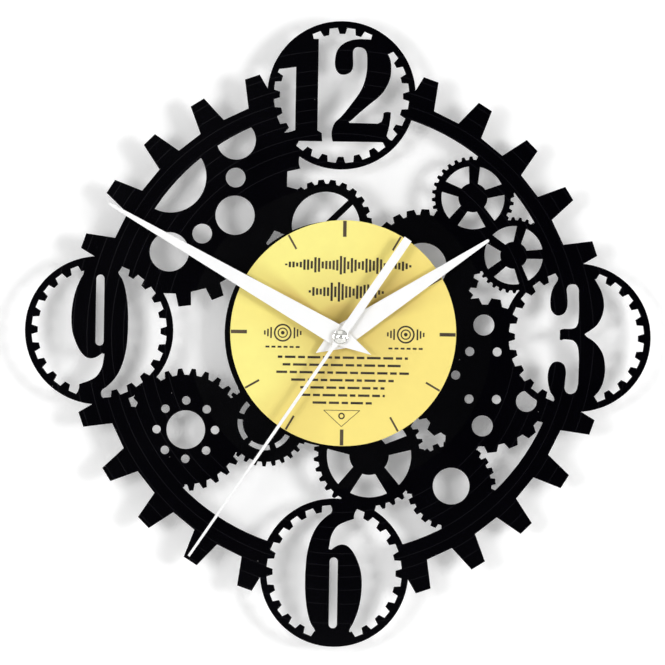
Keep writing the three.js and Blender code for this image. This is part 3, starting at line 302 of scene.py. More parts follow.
def goldFinish():
    look = goldLook
    material, tree, shader = newFinish("gold_label_paper")
    rings = place(tree, turnedRings, Pitch=look["ringPitch"], **look["centre"])
    grain = place(tree, fineGrain, Scale=look["grainScale"])

    def towards(bearing, half):
        along = maths(tree, "COSINE", maths(tree, "SUBTRACT", rings["Angle"], math.radians(bearing)))
        return spread(tree, along, math.cos(math.radians(half)), 1.0)

    # painted shade: darker towards the middle and the upper centre, and in lobes that stand for the hands'
    # shadows and the foil's dark reflections
    outward = maths(tree, "DIVIDE", rings["Radius"], look["reach"])
    near, far, depth = look["centreShade"]
    shade = spread(tree, rings["Radius"], near, far, depth, 0.0)
    near, far, depth = look["upperCentreShade"]
    upperCentreShade = spread(tree, rings["Radius"], near, far, depth, 0.0)
    shade = maths(tree, "ADD", shade, maths(tree, "MULTIPLY", upperCentreShade, towards(*look["upperCentreShadeAt"])))
    for bearing, half, depth, left in look["shadeLobes"]:
        fade = spread(tree, outward, *look["shadeLobeFade"], depth, depth * left)
        shade = maths(tree, "ADD", shade, maths(tree, "MULTIPLY", towards(bearing, half), fade))
    # painted highlight where the foil would catch the light; the middle tone also takes the paper's grain
    colour = look["bright"]
    for bearing, half in look["highlightAt"]:
        colour = tint(tree, towards(bearing, half), colour, look["freshAndHighlight"])
    colour = tint(tree, spread(tree, shade, 0.0, 0.5, smooth=False), colour, look["shadeAndGrainMid"])
    colour = tint(tree, spread(tree, shade, 0.5, 1.0, smooth=False), colour, look["deepShade"])
    colour = tint(tree, maths(tree, "MULTIPLY", grain["Tone"], look["grainTint"]), colour, look["shadeAndGrainMid"])
    feed(tree, shader.inputs["Base Color"], colour)
    roughen(tree, shader, grain, 0.2, look["rough"])
    height = maths(tree, "MULTIPLY", rings["Height"], look["ringHeight"])
    bump(tree, shader, maths(tree, "ADD", height, grain["Height"]), *look["bump"])
    shader.inputs["Specular IOR Level"].default_value = look["gloss"]
    return material


inkLook = {  # each ink is given fresh and worn
    "ink": ((0.02, 0.015, 0.01, 1), (0.055, 0.04, 0.022, 1)),
    "tickInk": ((0.05, 0.036, 0.02, 1), (0.1, 0.07, 0.038, 1)),
    "grainScale": 4000.0,
    "rough": (0.5, 0.62),
    "bump": (0.1, 0.00002),
    "gloss": 0.25,
}


def inkFinish(name):
    look = inkLook
    material, tree, shader = newFinish("label_" + name)
    grain = place(tree, fineGrain, Scale=look["grainScale"])
    freshAndHighlight, worn = look[name]
    feed(tree, shader.inputs["Base Color"], tint(tree, grain["Tone"], freshAndHighlight, worn))
    roughen(tree, shader, grain, 0.3, look["rough"])
    bump(tree, shader, grain["Height"], *look["bump"])
    shader.inputs["Specular IOR Level"].default_value = look["gloss"]
    return material


enamelLook = {
    "white": (0.93, 0.93, 0.925, 1),
    "shade": (0.86, 0.865, 0.88, 1),
    "edge": (0.8, 0.8, 0.8, 1),
    "cutStart": 0.9,
    "grainScale": 2600.0,
    "grainTint": 0.25,
    "rough": (0.3, 0.4),
    "bump": (0.06, 0.00003),
    "coat": 0.25,
    "coatRough": 0.15,
}


def enamelFinish():
    look = enamelLook
    material, tree, shader = newFinish("white_enamel")
    grain = place(tree, fineGrain, Scale=look["grainScale"])
    cut = place(tree, cutEdge, Start=look["cutStart"])["Mask"]
    toned = maths(tree, "MULTIPLY", grain["Tone"], look["grainTint"])
    colour = tint(tree, toned, look["white"], look["shade"])
    feed(tree, shader.inputs["Base Color"], tint(tree, cut, colour, look["edge"]))
    roughen(tree, shader, grain, 0.2, look["rough"])
    bump(tree, shader, grain["Height"], *look["bump"])
    shader.inputs["Coat Weight"].default_value = look["coat"]
    shader.inputs["Coat Roughness"].default_value = look["coatRough"]
    return material


metalLooks = {
    "polished_cap": {
        "name": "cap_polished", "clean": (0.92, 0.915, 0.87, 1), "dull": (0.86, 0.86, 0.82, 1),
        "rough": (0.1, 0.16), "pitch": 0.0004, "grain": 2600.0, "brushed": 0.02, "metal": 0.7,
    },
    "brass": {
        "name": "brass_turned", "clean": (0.80, 0.60, 0.27, 1), "dull": (0.66, 0.46, 0.18, 1),
        "rough": (0.2, 0.34), "pitch": 0.0003, "grain": 3200.0, "brushed": 0.18, "metal": 1.0,
    },
    "plated_steel": {
        "name": "steel_plated", "clean": (0.74, 0.75, 0.76, 1), "dull": (0.62, 0.63, 0.65, 1),
        "rough": (0.24, 0.4), "pitch": 0.0009, "grain": 1800.0, "brushed": 0.14, "metal": 1.0,
    },
    "crystal_can": {
        "name": "crystal_can", "clean": (0.78, 0.79, 0.8, 1), "dull": (0.68, 0.69, 0.7, 1),
        "rough": (0.16, 0.26), "pitch": 0.0005, "grain": 2400.0, "brushed": 0.06, "metal": 1.0,
    },
    "magnet": {
        "name": "rotor_magnet", "clean": (0.23, 0.23, 0.245, 1), "dull": (0.17, 0.17, 0.18, 1),
        "rough": (0.38, 0.55), "pitch": 0.0005, "grain": 3600.0, "brushed": 0.2, "metal": 1.0,
    },
    "copper": {
        "name": "copper_wire", "clean": (0.74, 0.33, 0.13, 1), "dull": (0.58, 0.22, 0.075, 1),
        "rough": (0.22, 0.34), "pitch": 0.0005, "grain": 2200.0, "brushed": 0.08, "metal": 1.0,
    },
}
metalDepth = 0.00002


def metalFinish(look):
    material, tree, shader = newFinish(look["name"])
    rings = place(tree, turnedRings, Pitch=look["pitch"])
    grain = place(tree, fineGrain, Scale=look["grain"])
    dulled = maths(tree, "MULTIPLY", grain["Tone"], 0.6)
    feed(tree, shader.inputs["Base Color"], tint(tree, dulled, look["clean"], look["dull"]))
    roughen(tree, shader, grain, 0.25, look["rough"])
    height = maths(tree, "ADD", rings["Height"], grain["Height"])
    bump(tree, shader, height, look["brushed"], metalDepth)
    shader.inputs["Metallic"].default_value = look["metal"]
    return material


plasticLooks = {
    "black_rubber": {
        "name": "rubber_black", "clean": (0.017, 0.017, 0.018, 1), "worn": (0.032, 0.032, 0.033, 1),
        "rough": (0.7, 0.9), "grain": 2200.0, "relief": 0.3, "dusty": 0.0,
    },
    "case_plastic": {
        "name": "case_moulded", "clean": (0.018, 0.018, 0.02, 1), "worn": (0.028, 0.028, 0.03, 1),
        "rough": (0.4, 0.58), "grain": 2600.0, "relief": 0.28, "dusty": 0.3,
    },
    "wheel_plastic": {
        "name": "wheel_moulded", "clean": (0.80, 0.77, 0.68, 1), "worn": (0.72, 0.69, 0.59, 1),
        "rough": (0.34, 0.46), "grain": 1900.0, "relief": 0.1, "dusty": 0.0,
    },
    "board": {
        "name": "board_laminate", "clean": (0.02, 0.13, 0.05, 1), "worn": (0.03, 0.17, 0.07, 1),
        "rough": (0.3, 0.45), "grain": 2600.0, "relief": 0.15, "dusty": 0.0,
    },
}
plasticDust = {"colour": (0.35, 0.34, 0.32, 1), "spread": {"Scale": 420.0, "Share": 0.2, "Size": 0.08}}
plasticDepth = 0.00008


def plasticFinish(look):
    material, tree, shader = newFinish(look["name"])
    grain = place(tree, fineGrain, Scale=look["grain"])
    shade = tint(tree, maths(tree, "MULTIPLY", grain["Tone"], 0.5), look["clean"], look["worn"])
    if look["dusty"]:
        dust = place(tree, dustSpecks, **plasticDust["spread"])["Mask"]
        shade = tint(tree, maths(tree, "MULTIPLY", dust, look["dusty"]), shade, plasticDust["colour"])
    feed(tree, shader.inputs["Base Color"], shade)
    roughen(tree, shader, grain, 0.25, look["rough"])
    bump(tree, shader, grain["Height"], look["relief"], plasticDepth)
    return material


wrapLook = {
    "body": (0.045, 0.12, 0.17, 1),
    "band": (0.62, 0.63, 0.64, 1),
    "metal": (0.72, 0.72, 0.73, 1),
    "bandAt": (0.0095, 0.0125),
    "bandMetal": 0.7,
    "wrapEnds": (-0.0238, 0.0240),
    "grainScale": 2400.0,
    "grainTint": 0.1,
    "rough": (0.22, 0.32),
    "bump": (0.08, 0.00004),
}


def cellFinish():
    look = wrapLook
    material, tree, shader = newFinish("cell_wrap_foil")
    grain = place(tree, fineGrain, Scale=look["grainScale"])
    split = addNode(tree, "ShaderNodeSeparateXYZ")
    feed(tree, split.inputs[0], objectPoint(tree))
    along = split.outputs["X"]
    band = maths(tree, "MULTIPLY", maths(tree, "GREATER_THAN", along, look["bandAt"][0]),
                 maths(tree, "LESS_THAN", along, look["bandAt"][1]))
    ends = maths(tree, "ADD", maths(tree, "LESS_THAN", along, look["wrapEnds"][0]),
                 maths(tree, "GREATER_THAN", along, look["wrapEnds"][1]), clamp=True)
    colour = tint(tree, band, look["body"], look["band"])
    colour = tint(tree, ends, colour, look["metal"])
    colour = tint(tree, maths(tree, "MULTIPLY", grain["Tone"], look["grainTint"]), colour, look["band"])
    feed(tree, shader.inputs["Base Color"], colour)
    foil = maths(tree, "MULTIPLY", band, look["bandMetal"])
    feed(tree, shader.inputs["Metallic"], maths(tree, "MAXIMUM", ends, foil))
    roughen(tree, shader, grain, 0.25, look["rough"])
    bump(tree, shader, grain["Height"], *look["bump"])
    return material


finishes = {
    "vinyl": vinylFinish(),
    "gold_paper": goldFinish(),
    "ink": inkFinish("ink"),
    "tickInk": inkFinish("tickInk"),
    "white_enamel": enamelFinish(),
    "cell_wrap": cellFinish(),
}
for slot, look in metalLooks.items():
    finishes[slot] = metalFinish(look)
for slot, look in plasticLooks.items():
    finishes[slot] = plasticFinish(look)
print("finishes ready,", len(finishes))


# mesh helpers, with the front towards -Y

def addObject(name, data):
    added = bpy.data.objects.new(name, data)
    bpy.context.scene.collection.objects.link(added)
    return added


def putPiece(name, mesh, slot, body, *replaced, finish=None):
    piece = addObject(name, mesh)
    mesh.materials.append(finishes[finish or slot])
    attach(piece, body)
    if replaced:
        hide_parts(*replaced)
    return piece


def meshFrom(name, bm, sharpAngle=32.0):
    mesh = bpy.data.meshes.new(name)
    smooth = [face.smooth for face in bm.faces]
    bm.to_mesh(mesh)
    bm.free()
    mesh.set_sharp_from_angle(angle=math.radians(sharpAngle))
    mesh.polygons.foreach_set("use_smooth", smooth)
    return mesh


# the outlines of a flat node's front face, the outer one and the holes
def frontLoops(node):
    bm = bmesh.new()
    bm.from_mesh(nodes[node].data)
    bmesh.ops.remove_doubles(bm, verts=bm.verts, dist=joinDistance)
    frontY = min(v.co.y for v in bm.verts)
    flat = [f for f in bm.faces if f.normal.y < -0.9 and f.calc_center_median().y < frontY + 1e-5]
    inFront = set(flat)
    follow = {}
    for face in flat:
        for corner in face.loops:
            if sum(1 for other in corner.edge.link_faces if other in inFront) == 1:
                follow[corner.vert] = corner.link_loop_next.vert
    loops = []
    while follow:
        start, here = follow.popitem()
        path = [start]
        while here != start:
            path.append(here)
            here = follow.pop(here)
        loops.append([Vector((v.co.x, v.co.z)) for v in path])
    bm.free()
    return loops


# drops doubled points and points on a straight line
def tidyLoop(path, straight=0.4, shortest=0.00002):
    kept = [p for i, p in enumerate(path) if (p - path[i - 1]).length > shortest]
    result = []
    for i, p in enumerate(kept):
        before = p - kept[i - 1]
        after = kept[(i + 1) % len(kept)] - p
        if abs(before.angle_signed(after, 0.0)) > math.radians(straight):
            result.append(p)
    return result


def insetLoop(path, inset):
    if inset == 0:
        return path
    result = []
    for i, p in enumerate(path):
        before = (p - path[i - 1]).normalized()
        after = (path[(i + 1) % len(path)] - p).normalized()
        leftBefore = Vector((-before.y, before.x))
        leftAfter = Vector((-after.y, after.x))
        miter = (leftBefore + leftAfter) / max(1 + leftBefore.dot(leftAfter), 0.45)
        result.append(p + miter * inset)
    return result


# bends short edges into smooth curves, and leaves sharp corners and long edges as they are
def roundLoop(path, sharpest=42.0, longest=0.008, step=5.0):
    count = len(path)
    edges = [path[(i + 1) % count] - path[i] for i in range(count)]
    tangents = []
    for i in range(count):
        before = edges[i - 1]
        after = edges[i]
        bent = abs(before.angle_signed(after, 0.0)) > math.radians(sharpest)
        if bent or max(before.length, after.length) > longest:
            tangents.append(None)
        else:
            lean = before.normalized() * after.length + after.normalized() * before.length
            tangents.append(lean.normalized())
    result = []
    for i in range(count):
        start = path[i]
        end = path[(i + 1) % count]
        result.append(start)
        leave = tangents[i]
        arrive = tangents[(i + 1) % count]
        if leave is None and arrive is None:
            continue
        reach = edges[i].length
        along = edges[i] / reach
        if leave is None:
            leave = along * (2 * arrive.dot(along)) - arrive
        if arrive is None:
            arrive = along * (2 * leave.dot(along)) - leave
        parts = math.ceil(abs(leave.angle_signed(arrive, 0.0)) / math.radians(step))
        for k in range(1, parts):
            t = k / parts
            point = start * (2 * t ** 3 - 3 * t ** 2 + 1) + end * (3 * t ** 2 - 2 * t ** 3)
            point += leave * (reach * (t ** 3 - 2 * t ** 2 + t)) + arrive * (reach * (t ** 3 - t ** 2))
            result.append(point)
    return result


def areaOf(path):
    return sum(path[i - 1].cross(path[i]) for i in range(len(path))) / 2


# a sheet cut to a node's outlines, with rounded edges
def softSheet(name, node, edge, smallest=5e-7):
    low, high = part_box(node)
    backY = high.y
    frontY = low.y
    part = edge * 0.29  # a rounded corner in two facets
    steps = [(edge, backY), (part, backY - part), (0, backY - edge),
             (0, frontY + edge), (part, frontY + part), (edge, frontY)]
    bm = bmesh.new()
    backEdges = []
    frontEdges = []
    for loop in frontLoops(node):
        if abs(areaOf(loop)) < smallest:
            continue
        path = roundLoop(tidyLoop(loop))
        rows = [[bm.verts.new((p.x, y, p.y)) for p in insetLoop(path, inset)] for inset, y in steps]
        count = len(path)
        for near, far in zip(rows, rows[1:]):
            for i in range(count):
                j = (i + 1) % count
                bm.faces.new((near[i], near[j], far[j], far[i])).smooth = True
        for i in range(count):
            backEdges.append(bm.edges.get((rows[0][i], rows[0][(i + 1) % count])))
            frontEdges.append(bm.edges.get((rows[-1][i], rows[-1][(i + 1) % count])))
    for edges, side in ((backEdges, 1), (frontEdges, -1)):
        made = bmesh.ops.triangle_fill(bm, use_beauty=True, use_dissolve=False, edges=edges,
                                       normal=(0, side, 0))
        for face in [g for g in made["geom"] if isinstance(g, bmesh.types.BMFace)]:
            face.smooth = False
            face.normal_update()
            if face.normal.y * side < 0:
                face.normal_flip()
    return meshFrom(name, bm)


# turned round the shaft from rows of radius and depth in millimetres; a row may change with the angle
def turnedMesh(name, rings, sides, closed=True, move=None, sharpAngle=32.0):
    bm = bmesh.new()
    rows = []
    for ring in rings:
        row = []
        for i in range(sides):
            angle = 2 * math.pi * i / sides
            radius, depth = ring(angle) if callable(ring) else ring
            if radius == 0 and row:
                break
            spot = (radius * mm * math.cos(angle), -depth * mm, radius * mm * math.sin(angle))
            row.append(bm.verts.new(spot))
        rows.append(row)
    pairs = list(zip(rows, rows[1:]))
    if closed:
        pairs.append((rows[-1], rows[0]))
    for near, far in pairs:
        for i in range(sides):
            j = (i + 1) % sides
            corners = [near[i % len(near)], near[j % len(near)], far[j % len(far)], far[i % len(far)]]
            corners = [v for k, v in enumerate(corners) if v not in corners[:k]]
            if len(corners) > 2:
                bm.faces.new(corners).smooth = True
    bmesh.ops.recalc_face_normals(bm, faces=bm.faces)
    if move is not None:
        bmesh.ops.transform(bm, matrix=move, verts=bm.verts)
    return meshFrom(name, bm, sharpAngle)


def softCopy(name, node, flattest=0.5):
    bm = bmesh.new()
    bm.from_mesh(nodes[node].data)
    bmesh.ops.remove_doubles(bm, verts=bm.verts, dist=joinDistance)
    bmesh.ops.dissolve_limit(bm, angle_limit=math.radians(flattest), verts=bm.verts, edges=bm.edges)
    for face in bm.faces:
        face.smooth = True
    return meshFrom(name, bm)


def soften(piece, width, engraver=None, sharpest=30.0, crease=36.0):
    rounded = piece.modifiers.new("rounded", "BEVEL")
    rounded.width = width
    rounded.segments = 2
    rounded.limit_method = "ANGLE"
    rounded.angle_limit = math.radians(sharpest)
    rounded.use_clamp_overlap = True
    if engraver is not None:
        engraved = piece.modifiers.new("engraved", "BOOLEAN")
        engraved.operation = "DIFFERENCE"
        engraved.solver = "EXACT"
        engraved.object = engraver
    mesh = bpy.data.meshes.new_from_object(piece.evaluated_get(bpy.context.evaluated_depsgraph_get()))
    piece.modifiers.clear()
    piece.data = mesh
    mesh.set_sharp_from_angle(angle=math.radians(crease))
    mesh.polygons.foreach_set("use_smooth", [True] * len(mesh.polygons))
    even = piece.modifiers.new("even", "WEIGHTED_NORMAL")  # keeps the broad faces flat in the light
    even.weight = 100
    even.keep_sharp = True


# the pierced record, in metres

recordShape = {"edge": 0.00013}
putPiece("record_pierced", softSheet("record_pierced", "record_disc", recordShape["edge"]),
         "vinyl", "clock", "record_disc")
print("record cut")


# the paper label and what is printed on it, in millimetres

labelShape = {
    "edge": 0.05,
    "centre": (1.4, 1.85),
    "inkDepth": 0.03,
    "tickFrom": 46.2,
    "tickTo": 53.9,
    "boldTick": 1.7,
    "fineTick": 0.95,
    "waves": [
        {"from": -27.0, "to": 33.0, "middle": 34.4, "tall": 9.4, "beat": 0.93},
        {"from": -15.5, "to": 21.0, "middle": 21.6, "tall": 10.6, "beat": 1.31},
    ],
    "waveStep": 1.75,
    "waveBar": 1.1,
    "waveShare": (0.34, 0.66),  # the least height and what the beat adds
    "speakers": (-27.6, 31.4),
    "speakerZ": 1.6,
    "speakerRings": ((3.5, 4.3, 32), (1.9, 2.5, 24), (0.0, 0.9, 16)),  # inner, outer, sides
    "speakerBars": ((5.6, 2.6), (7.1, 1.8), (8.6, 1.0)),  # out from the middle, half height
    "speakerBar": 0.8,
    "underline": {"count": 6, "from": -8.2, "step": 2.9, "long": 1.9, "low": -5.6, "high": -4.7},
    "rowTop": -9.9,
    "rowStep": 3.62,
    "rowHalf": (31.2, 28.8, 31.8, 24.6, 20.2, 20.4, 14.2),
    "dashTall": 1.15,
    "dashGap": 1.25,
    "dashLong": (2.2, 4.6),  # the shortest dash and the most that is added
    "dashLeast": 1.0,  # room that a last dash needs
    "triangle": ((-7.4, -35.2), (9.9, -35.2), (1.2, -43.0)),
    "triangleLine": 0.3,
    "ringAt": (1.2, -37.9),
    "ring": (0.9, 1.6, 20),
}


def rectangle(x0, z0, x1, z1):
    return [(x0, z0), (x1, z0), (x1, z1), (x0, z1)]


def stroke(start, end, width):
    a = Vector(start)
    b = Vector(end)
    along = (b - a).normalized()
    side = Vector((-along.y, along.x)) * width / 2
    return [a - side, b - side, b + side, a + side]


def circleBand(x, z, inner, outer, sides):
    shapes = []
    for i in range(sides):
        a0 = math.radians(360 * i / sides)
        a1 = math.radians(360 * (i + 1) / sides)
        corners = ((inner, a0), (outer, a0), (outer, a1), (inner, a1))
        shapes.append([(x + r * math.cos(a), z + r * math.sin(a)) for r, a in corners])
    return shapes


def hourTicks(shape):
    cx, cz = shape["centre"]
    marks = []
    for hour in range(12):
        angle = math.radians(90 - 30 * hour)
        width = shape["boldTick"] if hour % 3 == 0 else shape["fineTick"]
        start = (cx + shape["tickFrom"] * math.cos(angle), cz + shape["tickFrom"] * math.sin(angle))
        end = (cx + shape["tickTo"] * math.cos(angle), cz + shape["tickTo"] * math.sin(angle))
        marks.append(stroke(start, end, width))
    return marks


def waveBars(shape, wave):
    least, added = shape["waveShare"]
    marks = []
    count = int((wave["to"] - wave["from"]) / shape["waveStep"]) + 1
    for i in range(count):
        x = wave["from"] + i * shape["waveStep"]
        ends = math.sin(math.pi * (i + 0.7) / (count + 0.4)) ** 0.5  # low at both ends
        beat = abs(math.sin(wave["beat"] * i) * math.cos(0.37 * i + 0.4))
        half = wave["tall"] / 2 * ends * (least + added * beat)
        marks.append(rectangle(x, wave["middle"] - half, x + shape["waveBar"], wave["middle"] + half))
    return marks


def speakerMark(shape, x):
    z = shape["speakerZ"]
    marks = []
    for inner, outer, sides in shape["speakerRings"]:
        marks += circleBand(x, z, inner, outer, sides)
    wide = shape["speakerBar"] / 2
    for side in (-1, 1):
        for out, half in shape["speakerBars"]:
            middle = x + side * out
            marks.append(rectangle(middle - wide, z - half, middle + wide, z + half))
    line = shape["underline"]
    for k in range(line["count"]):
        left = x + line["from"] + line["step"] * k
        marks.append(rectangle(left, line["low"], left + line["long"], line["high"]))
    return marks


def listRows(shape):
    cx = shape["centre"][0]
    shortest, added = shape["dashLong"]
    tall = shape["dashTall"] / 2
    marks = []
    for row, half in enumerate(shape["rowHalf"]):
        z = shape["rowTop"] - row * shape["rowStep"]
        x = cx - half
        k = 0
        while x < cx + half - shape["dashLeast"]:
            length = shortest + added * ((0.618 * (k + 7 * row)) % 1.0)  # keeps the lengths uneven
            end = min(x + length, cx + half)
            marks.append(rectangle(x, z - tall, end, z + tall))
            x = end + shape["dashGap"]
            k += 1
    return marks


def printMesh(name, marks, backY, depth):
    bm = bmesh.new()
    for mark in marks:
        back = [bm.verts.new((p[0] * mm, backY, p[1] * mm)) for p in mark]
        front = [bm.verts.new((p[0] * mm, backY - depth, p[1] * mm)) for p in mark]
        count = len(mark)
        bm.faces.new(front)
        bm.faces.new(back[::-1])
        for i in range(count):
            j = (i + 1) % count
            bm.faces.new((back[i], back[j], front[j], front[i]))
    bmesh.ops.remove_doubles(bm, verts=bm.verts, dist=1e-7)
    bmesh.ops.dissolve_degenerate(bm, edges=bm.edges, dist=1e-8)
    return meshFrom(name, bm)


def labelMarks(shape):
    marks = listRows(shape)
    for wave in shape["waves"]:
        marks += waveBars(shape, wave)
    for x in shape["speakers"]:
        marks += speakerMark(shape, x)
    corners = shape["triangle"]
    for i in range(3):
        marks.append(stroke(corners[i - 1], corners[i], shape["triangleLine"]))
    return marks + circleBand(*shape["ringAt"], *shape["ring"])


putPiece("label_paper", softSheet("label_paper", "dial_label", labelShape["edge"] * mm),
         "gold_paper", "clock", "dial_label")
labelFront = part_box("dial_label")[0].y
inkDepth = labelShape["inkDepth"] * mm
ticks = hourTicks(labelShape)
printed = labelMarks(labelShape)
putPiece("label_ticks", printMesh("label_ticks", ticks, labelFront, inkDepth),
         "gold_paper", "clock", finish="tickInk")
putPiece("label_print", printMesh("label_print", printed, labelFront, inkDepth),
         "gold_paper", "clock", finish="ink")
print("label printed,", len(ticks) + len(printed), "marks")


# hands with rounded edges, in metres

handShape = {"edge": 0.00012}
for node, body in (("hour_hand", "hours"), ("minute_hand", "minutes"), ("second_hand", "seconds")):
    blade = softSheet(node + "_blade", node, handShape["edge"])
    putPiece(node + "_blade", blade, "white_enamel", body, node)
print("hands cut")


# turned pieces on the shaft, in millimetres

capShape = {
    "radius": 3.6,
    "dome": 3.02,
    "rim": 0.55,
    "step": 0.16,
    "back": 31.66,
    "top": 32.86,
    "edge": 0.12,
    "rimRound": ((0.0, 0.14), (0.06, 0.04), (0.18, 0.0)),  # in from the radius, down from the rim
    "groove": (0.1, 0.04),  # out from the dome, at the rim and at the foot
    "domeSteps": 10,
    "sides": 96,
}


def capRows(shape):
    radius = shape["radius"]
    back = shape["back"]
    dome = shape["dome"]
    rimTop = back + shape["rim"]
    domeBack = rimTop - shape["step"]
    rows = [(0, back), (radius - shape["edge"], back), (radius, back + shape["edge"])]
    rows += [(radius - inward, rimTop - down) for inward, down in shape["rimRound"]]
    rows += [(dome + shape["groove"][0], rimTop), (dome + shape["groove"][1], domeBack)]
    rise = shape["top"] - domeBack
    ball = (dome ** 2 + rise ** 2) / (2 * rise)  # radius of the ball that the dome is cut from
    widest = math.asin(dome / ball)
    steps = shape["domeSteps"]
    for k in range(steps):
        lean = widest * (steps - k) / steps
        rows.append((ball * math.sin(lean), shape["top"] - ball * (1 - math.cos(lean))))
    rows.append((0, shape["top"]))
    return rows


capMesh = turnedMesh("centre_cap_dome", capRows(capShape), capShape["sides"], closed=False)
putPiece("centre_cap_dome", capMesh, "polished_cap", "seconds", "centre_cap")

colletTurning = {"edge": 0.1, "flangeTall": 0.8, "sides": 64}
colletShapes = [
    {"node": "hour_collet", "body": "hours", "bore": 2.45, "flange": 4.25, "hub": 3.35,
     "back": 25.12, "front": 27.12},
    {"node": "minute_collet", "body": "minutes", "bore": 1.55, "flange": 3.35, "hub": 2.45,
     "back": 27.72, "front": 29.72},
    {"node": "second_sleeve", "body": "seconds", "bore": 0.5, "flange": 1.82, "hub": 1.4,
     "back": 30.32, "front": 31.64},
]


def flangeRows(bore, outer, back, front, edge):
    return [(bore, back + edge), (bore + edge, back), (outer - edge, back), (outer, back + edge),
            (outer, front - edge), (outer - edge, front)]


def colletRows(shape, turning):
    edge = turning["edge"]
    bore = shape["bore"]
    front = shape["front"]
    hub = shape["hub"]
    shoulder = shape["back"] + turning["flangeTall"]
    rows = flangeRows(bore, shape["flange"], shape["back"], shoulder, edge)
    return rows + [(hub, shoulder), (hub, front - edge), (hub - edge, front),
                   (bore + edge, front), (bore, front - edge)]


for shape in colletShapes:
    name = shape["node"] + "_turned"
    collet = turnedMesh(name, colletRows(shape, colletTurning), colletTurning["sides"])
    putPiece(name, collet, "brass", shape["body"], shape["node"])

washerShapes = [
    {"name": "brass_washer_turned", "node": "brass_washer", "slot": "brass", "sides": 72,
     "bore": 3.5, "outer": 5.6, "back": 21.2, "front": 21.7, "edge": 0.1},
    {"name": "rubber_washer_soft", "node": "rubber_washer", "slot": "black_rubber", "sides": 80,
     "bore": 3.5, "outer": 10.0, "back": 17.84, "front": 18.84, "edge": 0.22},
]


def washerRows(shape):
    edge = shape["edge"]
    bore = shape["bore"]
    front = shape["front"]
    rows = flangeRows(bore, shape["outer"], shape["back"], front, edge)
    return rows + [(bore + edge, front), (bore, front - edge)]


for shape in washerShapes:
    washer = turnedMesh(shape["name"], washerRows(shape), shape["sides"])
    putPiece(shape["name"], washer, shape["slot"], "clock", shape["node"])

threadShape = {"pitch": 0.5, "depth": 0.22, "outer": 3.45, "from": 16.2, "to": 24.4, "steps": 6,
               "crest": 1.25}  # over 1 flattens the crest
bushShape = {
    "bore": 2.5,
    "flange": 4.6,
    "back": 14.68,
    "flangeFront": 15.48,
    "front": 24.72,
    "edge": 0.1,
    "mouth": 0.08,
    "neck": 0.02,
    "sides": 64,
}


def threadRing(shape, along):
    def ring(angle):
        turn = (along / shape["pitch"] - angle / (2 * math.pi)) % 1.0
        crest = 1 - abs(2 * turn - 1)
        return shape["outer"] - shape["depth"] * (1 - min(1, crest * shape["crest"])), along
    return ring


def bushRows(shape, thread):
    edge = shape["edge"]
    bore = shape["bore"]
    flangeFront = shape["flangeFront"]
    neck = thread["outer"] - shape["neck"]
    rows = flangeRows(bore, shape["flange"], shape["back"], flangeFront, edge)
    rows += [(neck, flangeFront), (neck, thread["from"] - edge)]
    count = int((thread["to"] - thread["from"]) / thread["pitch"] * thread["steps"])
    for k in range(count + 1):
        rows.append(threadRing(thread, thread["from"] + (thread["to"] - thread["from"]) * k / count))
    rows += [(thread["outer"] - thread["depth"] - edge, shape["front"]),
             (bore + shape["mouth"], shape["front"]), (bore, shape["front"] - shape["mouth"])]
    return rows


bushMesh = turnedMesh("bush_threaded", bushRows(bushShape, threadShape), bushShape["sides"])
putPiece("bush_threaded", bushMesh, "brass", "clock", "threaded_bush")

nutShape = {
    "bore": 3.47,
    "flat": 5.0,
    "back": 21.72,
    "front": 23.92,
    "chamfer": 0.42,
    "chamferSteps": 4,
    "face": 0.95,  # share of the flat
    "mouth": 0.2,
    "sides": 96,
    "sharpAngle": 24.0,
}


def nutRing(shape, limit, depth):
    def ring(angle):
        folded = (angle + math.pi / 6) % (math.pi / 3) - math.pi / 6
        return min(shape["flat"] / math.cos(folded), limit), depth
    return ring


def nutRows(shape):
    corner = shape["flat"] / math.cos(math.pi / 6)
    face = shape["flat"] * shape["face"]
    bore = shape["bore"]
    back = shape["back"]
    front = shape["front"]
    mouth = shape["mouth"]
    chamfer = shape["chamfer"]
    steps = shape["chamferSteps"]
    rows = [(bore, back + mouth), (bore + mouth, back)]
    for k in range(steps + 1):
        rows.append(nutRing(shape, face + (corner - face) * k / steps, back + chamfer * k / steps))
    for k in range(steps + 1):
        depth = front - chamfer * (steps - k) / steps
        rows.append(nutRing(shape, corner - (corner - face) * k / steps, depth))
    rows += [(bore + mouth, front), (bore, front - mouth)]
    return rows


nutMesh = turnedMesh("hex_nut_chamfered", nutRows(nutShape), nutShape["sides"],
                     sharpAngle=nutShape["sharpAngle"])
putPiece("hex_nut_chamfered", nutMesh, "brass", "clock", "hex_nut")
print("shaft pieces turned")


# the movement behind the record; the marks are engraved in its back and painted, in millimetres

engraving = {
    "depth": 0.25,
    "paint": 0.08,
    "past": 0.3,  # how far the engraver stands out of the face it cuts
    "plus": (21.5, -6.4),
    "minus": (-21.5, -6.4),
    "arm": 2.0,
    "line": 0.45,
    "arrowRadius": 7.4,
    "arrowFrom": (25.0, 205.0),
    "arrowSweep": 78.0,
    "arrowTip": 16.0,
    "arrowHead": 1.25,
    "arrowLine": 0.8,  # share of the line
    "arrowSteps": 14,
}


def plusOutline(x, z, arm, line):
    corners = [(line, line), (line, arm), (-line, arm), (-line, line), (-arm, line), (-arm, -line),
               (-line, -line), (-line, -arm), (line, -arm), (line, -line), (arm, -line), (arm, line)]
    return [(x + dx, z + dz) for dx, dz in corners]


